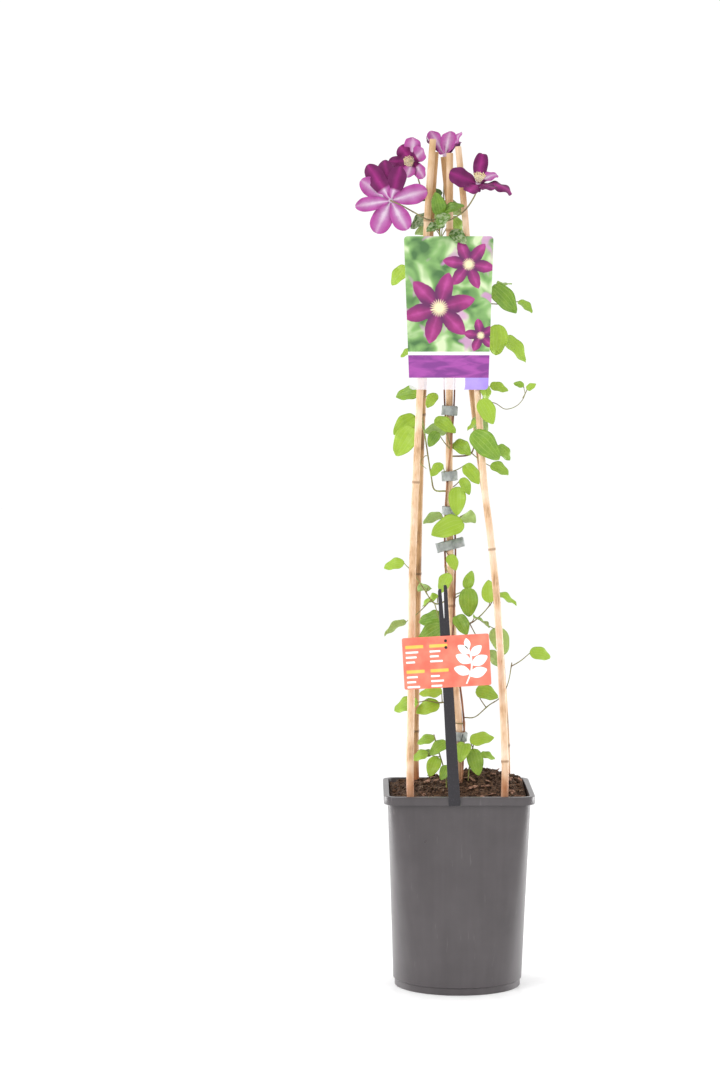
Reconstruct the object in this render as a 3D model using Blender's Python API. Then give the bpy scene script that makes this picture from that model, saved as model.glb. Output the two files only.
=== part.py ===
"""A climbing clematis in a square nursery pot, tied to bamboo canes.

The plant stands in a moulded pot whose rim is square and whose foot is round.
Four corner canes lean together over a centre cane, two woody stems twine up the
centre cane, and side shoots carry the leaves out between the corner canes.
Four open blooms sit at the top. A printed label leans on the two front canes,
and a care card hangs on a stake that hooks over the pot's front rim.

Lengths are in metres, +Z is up and the plant's front faces -Y. The origin is the
centre of the pot's flat underside.
"""

import math
import random
from dataclasses import dataclass, field, replace

import bmesh
import bpy
from mathutils import Matrix, Vector
from mathutils.bvhtree import BVHTree
from mathutils.geometry import intersect_point_line

MM = 0.001
SEED = 41
GAP = 0.3 * MM

# Pot
POT_HEIGHT = 271 * MM
RIM_HALF = 101.5 * MM
RIM_CORNER = 20 * MM
LIP_HEIGHT = 11 * MM
LIP_WALL = 1.6 * MM
LIP_ROUND = 1.0 * MM
BODY_TOP_HALF = 95.5 * MM
BODY_TOP_CORNER = 17 * MM
BODY_FOOT_HALF = 88.0 * MM
FOOT_HALF = 86.0 * MM
FOOT_HEIGHT = 9 * MM
FOOT_STEP = 1.5 * MM
WALL = 1.8 * MM
FLOOR = 2.5 * MM
ROUND_FLAT = 0.8 * MM
CORNER_POINTS = 7
BODY_RINGS = 3
DRAIN_COUNT = 6
DRAIN_SIDES = 8
DRAIN_RADIUS = 5 * MM
DRAIN_CIRCLE = 58 * MM

# Soil
SOIL_EDGE = 261 * MM
SOIL_MOUND = 26 * MM
SOIL_MOUND_AT = Vector((26 * MM, 34 * MM))
SOIL_MOUND_SPREAD = 68 * MM
SOIL_LUMP = 3.2 * MM
SOIL_BACK_RISE = 5 * MM
SOIL_RINGS = 7

# Canes
CANE_SIDES = 8
CANE_STEP = 140 * MM
CANE_NODE_SWELL = 1.12
CANE_NODE_REACH = 5 * MM
CANE_NODE_CLEAR = 6 * MM

# Stake, care card and plant label
CARD_TILT = math.radians(3.3)
STAKE_FOOT = Vector((-7 * MM, -(RIM_HALF + 2.1 * MM), 260 * MM))
STAKE_LENGTH = 296 * MM
STAKE_FOOT_WIDTH = 15.6 * MM
STAKE_TOP_WIDTH = 12.6 * MM
STAKE_THICK = 3 * MM
STAKE_FORK = 44 * MM
STAKE_SLOT = 3.4 * MM
HOOK_REACH = 11.5 * MM
HOOK_THICK = 2.6 * MM
HOOK_DROP = 8 * MM
HOOK_OVER_RIM = 0.9 * MM
PEG_RADIUS = 1.9 * MM
PEG_HEIGHTS = (213 * MM, 222 * MM)
PEG_REACH = 2.6 * MM
PEG_HOLE_PLAY = 0.4 * MM
CARD_WIDTH = 116 * MM
CARD_HEIGHT = 69 * MM
CARD_THICK = 0.8 * MM
CARD_CORNER = 3 * MM
CARD_CENTRE = 194 * MM
LABEL_TOP = 1021 * MM
LABEL_HEIGHT = 207 * MM
LABEL_TOP_WIDTH = 121 * MM
LABEL_FOOT_WIDTH = 106 * MM
LABEL_THICK = 0.7 * MM
LABEL_CORNER = 5 * MM
LABEL_CENTRE_X = -14 * MM

# Twining stems, tape ties and shoots
STEM_RADIUS = 1.5 * MM
STEM_RING = 7.2 * MM
STEM_ROOT = 232 * MM
STEM_TOP = 1015 * MM
STEM_ROOT_SPREAD = 5 * MM
STEM_ROOT_TOP = 325 * MM
TWINE_PITCH = 460 * MM
TWINE_LEVEL = 603 * MM
STEM_STEP = 30 * MM
SHOOT_STEP = 26 * MM
TIE_INNER = 9.8 * MM
TIE_LOOSE_DEPTH = 5.6 * MM
TIE_THICK = 0.8 * MM
TIE_POINTS = 12
SHOOT_SIDES = 6
STALK_RADIUS = 0.75 * MM
STALK_SIDES = 4

# Blades
LEAF_THICK = 0.7 * MM
TEPAL_THICK = 0.7 * MM
LEAF_COLUMNS = 2
LEAF_ROWS = 4
TEPAL_COLUMNS = 2
TEPAL_ROWS = 5
TEPAL_FOLD = -0.12
TEPAL_WAVE = 0.035
BLADE_CLEARANCE = 0.9 * MM
PLACING_TRIES = 160
PLACING_SHIFT = Vector((0.12, 0.2, 0.12))
PLACING_SWING = 1.1
PLACING_DROPS = (8, 4, 12, 0, 16, -6, 22)
STALK_LONGEST = 62 * MM
SEAM_WELD = 0.0015 * MM
UNION_TRIES = 60
UNION_NUDGE = 0.07 * MM
STALK_INTO_BLADE = 0.8 * MM
STAMEN_COUNT = 7
CORE_RADIUS = 3.6 * MM
CORE_HALF = 3 * MM


@dataclass
class Cane:
    """A bamboo cane: its radius at foot and tip, its line, and its joints' heights."""

    name: str
    foot_radius: float
    tip_radius: float
    line: list
    joints: list
    colour: str = "bamboo"


@dataclass
class Leaf:
    """A leaf: its blade's centre and length in mm, where its tip points, and its facing.

    heading turns from +X towards +Y, so 180 points left and 270 to the front, and
    pitch lifts the tip. facing is how far the upper face turns to the front (1),
    straight up (0) or to the back (-1). drop is how far below the blade's base
    the stalk leaves the stem.
    """

    centre: tuple
    heading: float
    pitch: float
    length: float
    facing: float = 0.8
    drop: float = 8


@dataclass
class Shoot:
    """A leafy shoot: its radii and its route in mm, the stem it grows from, and its tendrils.

    The route starts at the shoot's first bend, and its root is seated on the carrier.
    """

    name: str
    carrier: str
    radius: float
    tip_radius: float
    route: list
    tendrils: list = field(default_factory=list)


@dataclass
class Tepal:
    """A tepal: its turn round the bloom's axis, its size, and how it stands.

    curl bends it back along its length, lean adds to the bloom's spread, and roll
    turns it about its own rib: at 180 it is turned over. Degrees and mm.
    """

    turn: float
    length: float
    width: float
    curl: float = 14
    lean: float = 0
    roll: float = 0


@dataclass
class Bloom:
    """An open bloom: its centre and facing, its stalk's route, and its tepals.

    spread is the angle between the bloom's axis and a tepal. Degrees and mm.
    """

    name: str
    centre: tuple
    axis: tuple
    spread: float
    carrier: str
    stalk_route: list
    tepals: list
    stamens: float = 11


# The lines of the canes are in mm, from the foot in the soil to the tip.
CANES = (
    Cane("cane_front_left", 5.1, 4.5,
         [(-57, -62, 112), (-66, -76, 278), (-65, -70, 393), (-62, -53, 605), (-53, -37, 805),
          (-43, -17, 1040), (-35, -8, 1152)],
         [420, 690, 895, 1042]),
    Cane("cane_front_right", 5.0, 4.3,
         [(53, -62, 112), (61, -76, 272), (60, -70, 363), (52, -58, 515), (43, -51, 611), (33, -44, 696),
          (10, -18, 1027), (-1, -9, 1142)],
         [316, 600, 820]),
    Cane("cane_back_left", 4.9, 4.2,
         [(-50, 58, 112), (-56, 70, 278), (-54, 56, 523), (-49, 40, 752), (-36, 14, 1060), (-31, 6, 1136)],
         [340, 560, 780, 1010], "bamboo_dark"),
    Cane("cane_back_right", 4.9, 4.2,
         [(60, 60, 112), (71, 70, 271), (62, 58, 440), (48, 48, 600), (31, 40, 722), (20, 34, 812),
          (-14, 19, 1077), (-20, 15, 1130)],
         [320, 520, 740], "bamboo_dark"),
    Cane("cane_centre", 5.0, 4.6,
         [(2, 0, 60), (2, 0, 278), (2, 0, 356), (-3, 0, 410), (-8, 0, 514), (-10, 0, 560), (-12, 0, 679),
          (-12, 0, 804), (-12, 0, 1134)],
         [520, 655, 850, 1030]),
)

# Tape ties: name, height, half-width across X, tilt in degrees and the band's width, in mm.
TIES = (
    ("tape_tie_low", 341, 9.8, 4, 13),
    ("tape_tie_loose", 603, 18.5, -14, 13),
    ("tape_tie_mid", 650, 9.8, 2, 11),
    ("tape_tie_upper", 697, 9.8, -3, 13),
    ("tape_tie_high", 786, 9.8, 4, 13),
)

SHOOTS = (
    Shoot("shoot_left", "vine_left", 1.1, 0.8,
          [(-32, 2, 678), (-44, 6, 745), (-52, -2, 800), (-57, -6, 870), (-60, -4, 962)],
          [[(-46, -16, 724), (-52, -26, 716), (-44, -30, 708)]]),
    Shoot("shoot_right", "vine_right", 1.1, 0.8,
          [(16, 9, 726), (28, 5, 766), (36, 2, 820), (38, 2, 880), (40, -4, 946)],
          [[(50, -2, 796), (64, -4, 788), (80, -4, 793), (90, -4, 806), (89, -4, 817)]]),
    Shoot("shoot_left_mid", "vine_left", 0.9, 0.7, [(-32, -12, 524), (-48, -14, 546), (-64, -16, 570)]),
    Shoot("shoot_right_mid", "vine_right", 0.9, 0.7, [(16, -4, 496), (32, -6, 508), (44, -8, 522)]),
    Shoot("shoot_left_low", "vine_right", 0.9, 0.7, [(-26, -10, 388), (-44, -16, 392)]),
    Shoot("shoot_right_low", "vine_left", 0.8, 0.65,
          [(24, -4, 368), (42, -8, 384), (58, -14, 396), (68, -18, 416), (73, -20, 444)]),
    Shoot("shoot_base_left", "", 1.0, 0.7,
          [(-14, -16, 236), (-17, -17, 290), (-25, -20, 318), (-33, -22, 346)]),
    Shoot("shoot_base_right", "", 1.0, 0.7, [(14, -8, 236), (15, -9, 292), (18, -10, 312), (22, -10, 334)]),
    Shoot("shoot_top_front", "vine_right", 1.0, 0.8, [(-24, -18, 1000), (-26, -24, 1024), (-27, -26, 1046)]),
    Shoot("shoot_top_back", "vine_left", 1.0, 0.8, [(-22, 24, 1000), (-25, 31, 1030), (-26, 33, 1062)]),
)

# The leaves are listed by the stem that carries them, as measured from the photo.
LEAVES = {
    "vine_right": [
        Leaf((-2, -19, 753), 300, -50, 35, 0.9), Leaf((-1, -22, 727), 282, -56, 33, 0.9),
        Leaf((18, -14, 705), 350, -14, 34), Leaf((10, -14, 684), 325, -58, 26, 0.9),
        Leaf((-3, -18, 665), 275, -74, 40, 1.0), Leaf((-15, -19, 628), 198, -16, 48, 1.0),
        Leaf((15, -10, 556), 350, 72, 27, 0.9),
        Leaf((17, -15, 528), 300, -70, 42, 1.0), Leaf((5, -17, 496), 308, -42, 32),
        Leaf((14, 20, 640), 60, -10, 34, -0.9), Leaf((6, 22, 470), 90, -10, 32, -0.9),
    ],
    "vine_left": [
        Leaf((-6, -17, 582), 300, -46, 24), Leaf((-10, -19, 562), 200, -30, 30, 0.3),
        Leaf((-30, -10, 706), 190, -40, 24),
        Leaf((-34, 14, 640), 150, -12, 30, -0.8), Leaf((-28, 18, 770), 120, -12, 32, -0.8),
        Leaf((-34, -12, 748), 200, -52, 24),
        Leaf((-12, -19, 368), 230, 50, 15, 0.8, 4),
    ],
    "shoot_left": [
        Leaf((-74, -12, 744), 184, -56, 47, 0.9), Leaf((-76, -4, 767), 183, -42, 42, 0.9),
        Leaf((-81, -6, 969), 192, -48, 33), Leaf((-69, -4, 808), 182, -8, 33),
        Leaf((-37, -12, 800), 210, -50, 24), Leaf((-71, -6, 865), 182, -28, 20, 0.6),
    ],
    "shoot_right": [
        Leaf((37, -52, 741), 338, -36, 54, 1.0), Leaf((63, -4, 937), 352, -44, 50, 0.9),
        Leaf((78, -2, 869), 5, -40, 46, 0.6), Leaf((58, -8, 874), 348, -52, 45, 0.9),
        Leaf((37, -50, 783), 340, -46, 38, 0.9), Leaf((60, 4, 966), 8, -22, 30, 0.3),
        Leaf((58, -6, 707), 2, -14, 30, 0.7), Leaf((64, -4, 729), 0, -35, 28),
        Leaf((22, -8, 770), 200, -14, 28, 0.2), Leaf((56, -6, 818), 0, -8, 27, 0.7),
        Leaf((93, -2, 925), 0, -14, 26, 0.4), Leaf((31, -48, 806), 350, -38, 26),
        Leaf((82, -5, 822), 180, 22, 15), Leaf((97, -4, 822), 0, 18, 15),
        Leaf((30, 22, 760), 100, -16, 36, -0.9),
    ],
    "shoot_left_mid": [
        Leaf((-39, -22, 485), 190, -26, 39, 0.9), Leaf((-44, -20, 503), 186, -14, 37),
        Leaf((-88, -12, 493), 181, -18, 37, -0.5), Leaf((-41, -10, 523), 182, -12, 31, 0.5),
        Leaf((-88, -12, 578), 182, -5, 30, 0.7),
        Leaf((-46, 4, 545), 120, -8, 28, -0.8),
    ],
    "shoot_right_mid": [
        Leaf((42, -12, 541), 95, 76, 33, 0.9), Leaf((66, -10, 531), 0, -12, 34, 0.3),
        Leaf((34, -12, 502), 0, -5, 34, 0.3),
        Leaf((58, -2, 472), 15, -62, 40, -0.7), Leaf((50, 2, 448), 10, -40, 30, -0.7),
    ],
    "shoot_left_low": [
        Leaf((-72, -14, 386), 184, -10, 36, 0.7), Leaf((-41, -12, 383), 188, -12, 35),
        Leaf((-38, -16, 402), 182, 0, 32, 0.7),
    ],
    "shoot_right_low": [
        Leaf((40, -16, 402), 350, -8, 33), Leaf((113, -14, 455), 0, -4, 32, 0.9),
    ],
    "shoot_base_left": [
        Leaf((-30, -24, 326), 215, -30, 30), Leaf((-34, -26, 303), 235, -52, 30, 0.9),
        Leaf((-44, -16, 338), 186, -6, 26, 0.7), Leaf((-52, -14, 316), 184, -14, 24, 0.7),
        Leaf((-20, -28, 298), 250, -56, 24, 0.9),
        Leaf((-40, 10, 316), 120, -10, 26, -0.7),
    ],
    "shoot_base_right": [
        Leaf((24, -22, 308), 300, -64, 38, 1.0), Leaf((33, -14, 340), 355, 18, 35),
        Leaf((10, -20, 326), 260, -60, 34, 0.9), Leaf((42, -10, 316), 0, -4, 22, 0.5),
    ],
    "shoot_top_front": [
        Leaf((-53, -4, 1043), 190, -20, 32, 0.7), Leaf((-28, -30, 1064), 250, 64, 32),
        Leaf((-10, -28, 1058), 330, 20, 32, 0.6), Leaf((-36, -32, 1036), 205, -26, 30, 0.5),
        Leaf((-6, -38, 1021), 300, -56, 30, 0.9), Leaf((-14, -36, 1040), 280, -20, 30, 0.7),
        Leaf((6, -34, 1036), 340, -26, 28),
    ],
    "shoot_top_back": [
        Leaf((-8, 30, 1060), 20, -14, 34, -0.7), Leaf((-30, 16, 1074), 210, 10, 32, 0.7),
        Leaf((-44, 40, 1034), 150, -10, 32, -0.8), Leaf((-24, 48, 1048), 90, -38, 32, -0.9),
        Leaf((-2, 20, 1036), 10, -30, 32, 0.7), Leaf((-26, 10, 1046), 200, -20, 30, 0.6),
    ],
}

BLOOMS = (
    Bloom("bloom_left", (-92, -22, 1069), (-0.10, 0.96, 0.12), 90, "shoot_top_front",
          [(-78, -34, 1062), (-60, -36, 1052), (-42, -32, 1043)],
          [Tepal(19, 50, 27), Tepal(-57, 44, 26), Tepal(-111, 47, 29), Tepal(-168, 49, 20), Tepal(150, 48, 26),
           Tepal(127, 57, 25, 30, 0, 180), Tepal(102, 56, 25, 36, 0, 180), Tepal(78, 47, 25, 30, 0, 180)]),
    Bloom("bloom_upper_left", (-62, 46, 1127), (-0.35, -0.85, -0.10), 72, "shoot_top_back",
          [(-55, 60, 1108), (-46, 52, 1080), (-36, 40, 1058)],
          [Tepal(0, 31, 14), Tepal(-28, 29, 19), Tepal(55, 25, 24), Tepal(102, 34, 25, 24, 0, 180),
           Tepal(146, 31, 23, 20, 0, 180), Tepal(228, 33, 18, 30, 0, 180), Tepal(280, 25, 20, 24, 0, 180)]),
    Bloom("bloom_top", (-17, 44, 1134), (-0.10, 0.25, 0.95), 44, "shoot_top_back",
          [(-18, 41, 1110), (-19, 42, 1080), (-19, 39, 1054)],
          [Tepal(55, 38, 24, 6), Tepal(117, 37, 23, 6), Tepal(175, 39, 23, 6), Tepal(236, 38, 22, -40),
           Tepal(293, 36, 23, 6), Tepal(356, 39, 24, 6)]),
    Bloom("bloom_right", (25, -38, 1090), (0.12, -0.55, 0.80), 72, "shoot_top_front",
          [(18, -28, 1070), (6, -28, 1054), (-14, -27, 1042)],
          [Tepal(5, 41, 28, 10, 4, -35), Tepal(98, 45, 20, -95, -12), Tepal(150, 31, 18, -50, -6, 180),
           Tepal(186, 49, 23, 60, 4), Tepal(236, 33, 22, 16), Tepal(300, 32, 23, 20)]),
)

COLOURS = {
    "pot_plastic": ((0.145, 0.130, 0.135), 0.45, 0.0),
    "peat": ((0.045, 0.028, 0.018), 0.95, 0.0),
    "bamboo": ((0.700, 0.500, 0.330), 0.55, 0.0),
    "bamboo_dark": ((0.480, 0.300, 0.160), 0.6, 0.0),
    "stake_plastic": ((0.035, 0.032, 0.040), 0.5, 0.0),
    "card": ((0.850, 0.130, 0.080), 0.4, 0.0),
    "label": ((0.480, 0.080, 0.380), 0.35, 0.0),
    "tape": ((0.400, 0.410, 0.420), 0.6, 0.0),
    "leaf": ((0.300, 0.480, 0.080), 0.5, 0.0),
    "stalk": ((0.220, 0.200, 0.080), 0.6, 0.0),
    "tepal": ((0.300, 0.030, 0.200), 0.5, 0.0),
    "stamen": ((0.880, 0.820, 0.550), 0.6, 0.0),
}


def clear_scene():
    """Remove every object, so that the scene holds this plant only."""
    for thing in list(bpy.data.objects):
        bpy.data.objects.remove(thing, do_unlink=True)


def collection(name):
    """Make a collection in the scene and return it."""
    made = bpy.data.collections.new(name)
    bpy.context.scene.collection.children.link(made)
    return made


def material(name):
    """Return the named Principled material, and make it the first time."""
    found = bpy.data.materials.get(name)
    if found:
        return found
    colour, roughness, metallic = COLOURS[name]
    made = bpy.data.materials.new(name)
    made.use_nodes = True
    shader = made.node_tree.nodes["Principled BSDF"]
    shader.inputs["Base Color"].default_value = (*colour, 1.0)
    shader.inputs["Roughness"].default_value = roughness
    shader.inputs["Metallic"].default_value = metallic
    made.diffuse_color = (*colour, 1.0)
    return made


def millimetres(points):
    """Turn points in mm to vectors in metres."""
    return [Vector(point) * MM for point in points]


def smooth_line(points, spacing):
    """Sample a Catmull-Rom curve through the points, about spacing apart."""
    ends = [points[0] * 2 - points[1], *points, points[-1] * 2 - points[-2]]
    samples = []
    for index in range(1, len(ends) - 2):
        before, start, end, after = ends[index - 1:index + 3]
        steps = max(1, round((end - start).length / spacing))
        for step in range(steps):
            t = step / steps
            square = (2 * before - 5 * start + 4 * end - after) * t * t
            cube = (3 * start - before - 3 * end + after) * t ** 3
            samples.append(0.5 * (2 * start + (end - before) * t + square + cube))
    samples.append(points[-1].copy())
    return samples


def line_at_height(line, height):
    """Return the point of a rising line at a height."""
    for low, high in zip(line, line[1:]):
        if low.z <= height <= high.z:
            return low.lerp(high, (height - low.z) / (high.z - low.z))
    return line[-1].copy() if height > line[-1].z else line[0].copy()


def add_object(name, mesh, material_name, home):
    """Put a mesh in a collection as a named object with one material."""
    mesh.name = name
    mesh.materials.clear()
    mesh.materials.append(material(material_name))
    made = bpy.data.objects.new(name, mesh)
    home.objects.link(made)
    return made


def baked_mesh(thing):
    """Return an object's evaluated mesh in world space, and remove the object."""
    bpy.context.view_layer.update()
    graph = bpy.context.evaluated_depsgraph_get()
    mesh = bpy.data.meshes.new_from_object(thing.evaluated_get(graph))
    mesh.transform(thing.matrix_world)
    bpy.data.objects.remove(thing, do_unlink=True)
    return mesh


def weld(mesh, distance=1e-6):
    """Join a mesh's coincident points and turn its faces outward."""
    shape = bmesh.new()
    shape.from_mesh(mesh)
    bmesh.ops.remove_doubles(shape, verts=shape.verts, dist=distance)
    bmesh.ops.recalc_face_normals(shape, faces=shape.faces)
    shape.to_mesh(mesh)
    shape.free()
    return mesh


def tube(line, radii, sides, home):
    """Make a closed tube mesh along a line from a bevelled curve with filled caps."""
    curve = bpy.data.curves.new("tube", "CURVE")
    curve.dimensions = "3D"
    curve.bevel_depth = 1.0
    curve.bevel_resolution = sides // 2 - 2
    curve.use_fill_caps = True
    spline = curve.splines.new("POLY")
    spline.points.add(len(line) - 1)
    for knot, place, radius in zip(spline.points, line, radii):
        knot.co = (*place, 1.0)
        knot.radius = radius
    thing = bpy.data.objects.new("tube", curve)
    home.objects.link(thing)
    return weld(baked_mesh(thing))


def taper(line, start, end):
    """Return a radius for each point of a line, from start to end."""
    last = len(line) - 1
    return [start + (end - start) * index / last for index in range(last + 1)]


def faults(mesh):
    """Return the places where a mesh isn't cleanly closed."""
    shape = bmesh.new()
    shape.from_mesh(mesh)
    places = [edge.verts[0].co.copy() for edge in shape.edges if len(edge.link_faces) != 2]
    places += [vert.co.copy() for vert in shape.verts if not vert.is_manifold]
    shape.free()
    return places


def is_near(mesh, places):
    """Tell whether any of the places lies in a mesh's box, with a margin round it."""
    corners = [[pick(vert.co[axis] for vert in mesh.vertices) for axis in range(3)] for pick in (min, max)]
    margin = 0.3 * MM
    return any(all(corners[0][axis] - margin < place[axis] < corners[1][axis] + margin for axis in range(3))
               for place in places)


def joined_once(base, others, home):
    """Join closed meshes into one with one Boolean union on a collection."""
    body = bpy.data.objects.new("body", base)
    home.objects.link(body)
    pieces = collection("pieces")
    for mesh in others:
        pieces.objects.link(bpy.data.objects.new("piece", mesh))
    join = body.modifiers.new("join", "BOOLEAN")
    join.operation = "UNION"
    join.operand_type = "COLLECTION"
    join.collection = pieces
    join.solver = "MANIFOLD"
    mesh = baked_mesh(body)
    for piece in list(pieces.objects):
        bpy.data.objects.remove(piece, do_unlink=True)
    bpy.data.collections.remove(pieces)
    return tidied(mesh)


def united(base, others, home):
    """Join meshes, and nudge pieces a hair where their seams don't meet cleanly."""
    rng = random.Random(SEED)
    for _ in range(UNION_TRIES):
        mesh = joined_once(base, others, home)
        places = faults(mesh)
        if not places:
            return mesh
        for piece in others:
            if is_near(piece, places):
                nudge = Vector([rng.uniform(-1, 1) for _ in range(3)]) * UNION_NUDGE
                piece.transform(Matrix.Translation(nudge))
    print(f"no sound union after {UNION_TRIES} tries")
    return mesh


def tidied(mesh):
    """Close up the slivers that a union leaves along its seams."""
    shape = bmesh.new()
    shape.from_mesh(mesh)
    bmesh.ops.triangulate(shape, faces=shape.faces)
    bmesh.ops.remove_doubles(shape, verts=shape.verts, dist=SEAM_WELD)
    bmesh.ops.dissolve_degenerate(shape, edges=shape.edges, dist=SEAM_WELD)
    bmesh.ops.triangulate(shape, faces=shape.faces)
    shape.to_mesh(mesh)
    shape.free()
    return mesh


def cut(name, mesh, cutters, material_name, home, guides):
    """Make an object and cut it with meshes, which stay as hidden wire guides."""
    made = add_object(name, mesh, material_name, home)
    for index, cutter_mesh in enumerate(cutters):
        cutter = bpy.data.objects.new(f"{name}_cutter_{index}", cutter_mesh)
        guides.objects.link(cutter)
        cutter.hide_render = True
        cutter.display_type = "WIRE"
        bore = made.modifiers.new(f"bore_{index}", "BOOLEAN")
        bore.operation = "DIFFERENCE"
        bore.object = cutter
        bore.solver = "EXACT"
    return made


def cylinder(radius, low, high, sides, place=Matrix()):
    """Make a capped cylinder mesh that stands on +Z between two heights."""
    shape = bmesh.new()
    middle = Matrix.Translation((0, 0, (low + high) / 2))
    bmesh.ops.create_cone(shape, cap_ends=True, segments=sides, radius1=radius, radius2=radius,
                          depth=high - low, matrix=place @ middle)
    mesh = bpy.data.meshes.new("cylinder")
    shape.to_mesh(mesh)
    shape.free()
    return mesh


def rounded_square(half, corner, height):
    """Return the points of a square with round corners, at a height."""
    points = []
    for quarter in range(4):
        across = half - corner
        turn = quarter * math.pi / 2 + math.pi / 4
        centre = Vector((math.cos(turn), math.sin(turn))) * across * math.sqrt(2)
        for step in range(CORNER_POINTS):
            angle = quarter * math.pi / 2 + math.pi / 2 * step / (CORNER_POINTS - 1)
            arc = Vector((math.cos(angle), math.sin(angle))) * corner
            points.append(Vector((*(centre + arc), height)))
    return points


def loft(rings):
    """Skin a closed solid over rings of equal point counts, capped at both ends."""
    shape = bmesh.new()
    rows = [[shape.verts.new(point) for point in ring] for ring in rings]
    for lower, upper in zip(rows, rows[1:]):
        for index, corner in enumerate(lower):
            after = (index + 1) % len(lower)
            shape.faces.new((corner, lower[after], upper[after], upper[index]))
    shape.faces.new(reversed(rows[0]))
    shape.faces.new(rows[-1])
    bmesh.ops.recalc_face_normals(shape, faces=shape.faces)
    mesh = bpy.data.meshes.new("loft")
    shape.to_mesh(mesh)
    shape.free()
    return mesh


def body_section(height, inset=0.0):
    """Return the pot body's section at a height: round at the foot, square at the rim."""
    top = POT_HEIGHT - LIP_HEIGHT
    share = (height - FOOT_HEIGHT) / (top - FOOT_HEIGHT)
    half = BODY_FOOT_HALF + (BODY_TOP_HALF - BODY_FOOT_HALF) * share
    round_corner = BODY_FOOT_HALF - ROUND_FLAT
    corner = round_corner + (BODY_TOP_CORNER - round_corner) * share
    corner = min(corner, half - ROUND_FLAT)
    return rounded_square(half - inset, corner - inset, height)


def make_pot(home, guides):
    """Make the pot: foot, body, folded lip, inner wall and a floor with drain holes."""
    top = POT_HEIGHT - LIP_HEIGHT
    flange = POT_HEIGHT - LIP_WALL
    foot_corner = FOOT_HALF - ROUND_FLAT
    rings = [rounded_square(FOOT_HALF, foot_corner, 0.0),
             rounded_square(FOOT_HALF, foot_corner, FOOT_HEIGHT)]
    low = FOOT_HEIGHT + FOOT_STEP
    rings += [body_section(low + (top - low) * ring / BODY_RINGS) for ring in range(BODY_RINGS + 1)]
    rings += [body_section(flange)]
    skirt_half = RIM_HALF - LIP_WALL
    skirt_corner = RIM_CORNER - LIP_WALL
    rings += [rounded_square(skirt_half, skirt_corner, flange),
              rounded_square(skirt_half, skirt_corner, top),
              rounded_square(RIM_HALF, RIM_CORNER, top),
              rounded_square(RIM_HALF, RIM_CORNER, POT_HEIGHT - LIP_ROUND),
              rounded_square(RIM_HALF - LIP_ROUND, RIM_CORNER - LIP_ROUND, POT_HEIGHT)]
    rings += [body_section(POT_HEIGHT, WALL), body_section(FOOT_HEIGHT, WALL)]
    rings += [rounded_square(FOOT_HALF - WALL, foot_corner - WALL, FOOT_HEIGHT),
              rounded_square(FOOT_HALF - WALL, foot_corner - WALL, FLOOR)]
    drains = []
    for index in range(DRAIN_COUNT):
        turn = Matrix.Rotation(2 * math.pi * (index + 0.5) / DRAIN_COUNT, 4, "Z")
        place = turn @ Matrix.Translation((DRAIN_CIRCLE, 0, 0))
        drains.append(cylinder(DRAIN_RADIUS, -FLOOR, 2 * FLOOR, DRAIN_SIDES, place))
    return cut("pot", loft(rings), drains, "pot_plastic", home, guides)


def soil_height(place, rng_phase):
    """Return the soil's height at a place: a mound behind the centre, with lumps."""
    away = (Vector(place[:2]) - SOIL_MOUND_AT).length / SOIL_MOUND_SPREAD
    mound = SOIL_MOUND * math.exp(-away * away)
    x, y = place[0] / MM, place[1] / MM
    lumps = (math.sin(x / 5.1 + rng_phase) * math.cos(y / 4.3 - rng_phase)
             + 0.7 * math.sin(x / 2.7 - y / 3.1 + 2 * rng_phase))
    rise = SOIL_BACK_RISE * (place[1] / RIM_HALF + 1) / 2
    return SOIL_EDGE + mound + rise + SOIL_LUMP * lumps / 1.7


def soil_heap():
    """Return the peat without its holes: it fills the pot and mounds behind the centre."""
    phase = random.Random(SEED).uniform(0, math.pi)
    inset = WALL + GAP
    foot_half = FOOT_HALF - inset
    edge_height = SOIL_EDGE - SOIL_LUMP
    rings = [rounded_square(foot_half, foot_half - ROUND_FLAT, FLOOR + GAP),
             rounded_square(foot_half, foot_half - ROUND_FLAT, FOOT_HEIGHT + GAP),
             body_section(edge_height, inset)]
    for ring in range(1, SOIL_RINGS + 1):
        scale = 1 - ring / (SOIL_RINGS + 0.6)
        surface = []
        for point in rings[2]:
            place = Vector((point.x * scale, point.y * scale, 0))
            place.z = max(soil_height(place, phase), edge_height + 0.5 * MM)
            surface.append(place)
        rings.append(surface)
    return loft(rings)


def make_soil(hole_tubes, home):
    """Make the peat with a hole for each cane and stem that stands in it."""
    holes = united(hole_tubes[0], hole_tubes[1:], home)
    rng = random.Random(SEED)
    for _ in range(UNION_TRIES):
        heap = bpy.data.objects.new("heap", soil_heap())
        cutter = bpy.data.objects.new("holes", holes)
        for thing in (heap, cutter):
            home.objects.link(thing)
        bore = heap.modifiers.new("bore", "BOOLEAN")
        bore.operation = "DIFFERENCE"
        bore.object = cutter
        bore.solver = "MANIFOLD"
        mesh = tidied(baked_mesh(heap))
        bpy.data.objects.remove(cutter, do_unlink=True)
        if not faults(mesh):
            break
        holes.transform(Matrix.Translation((0, 0, rng.uniform(-1, 1) * UNION_NUDGE)))
    add_object("soil", mesh, "peat", home)


def cane_line(cane):
    """Return a cane's smooth line, from its foot in the soil to its tip."""
    return smooth_line(millimetres(cane.line), CANE_STEP)


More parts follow.
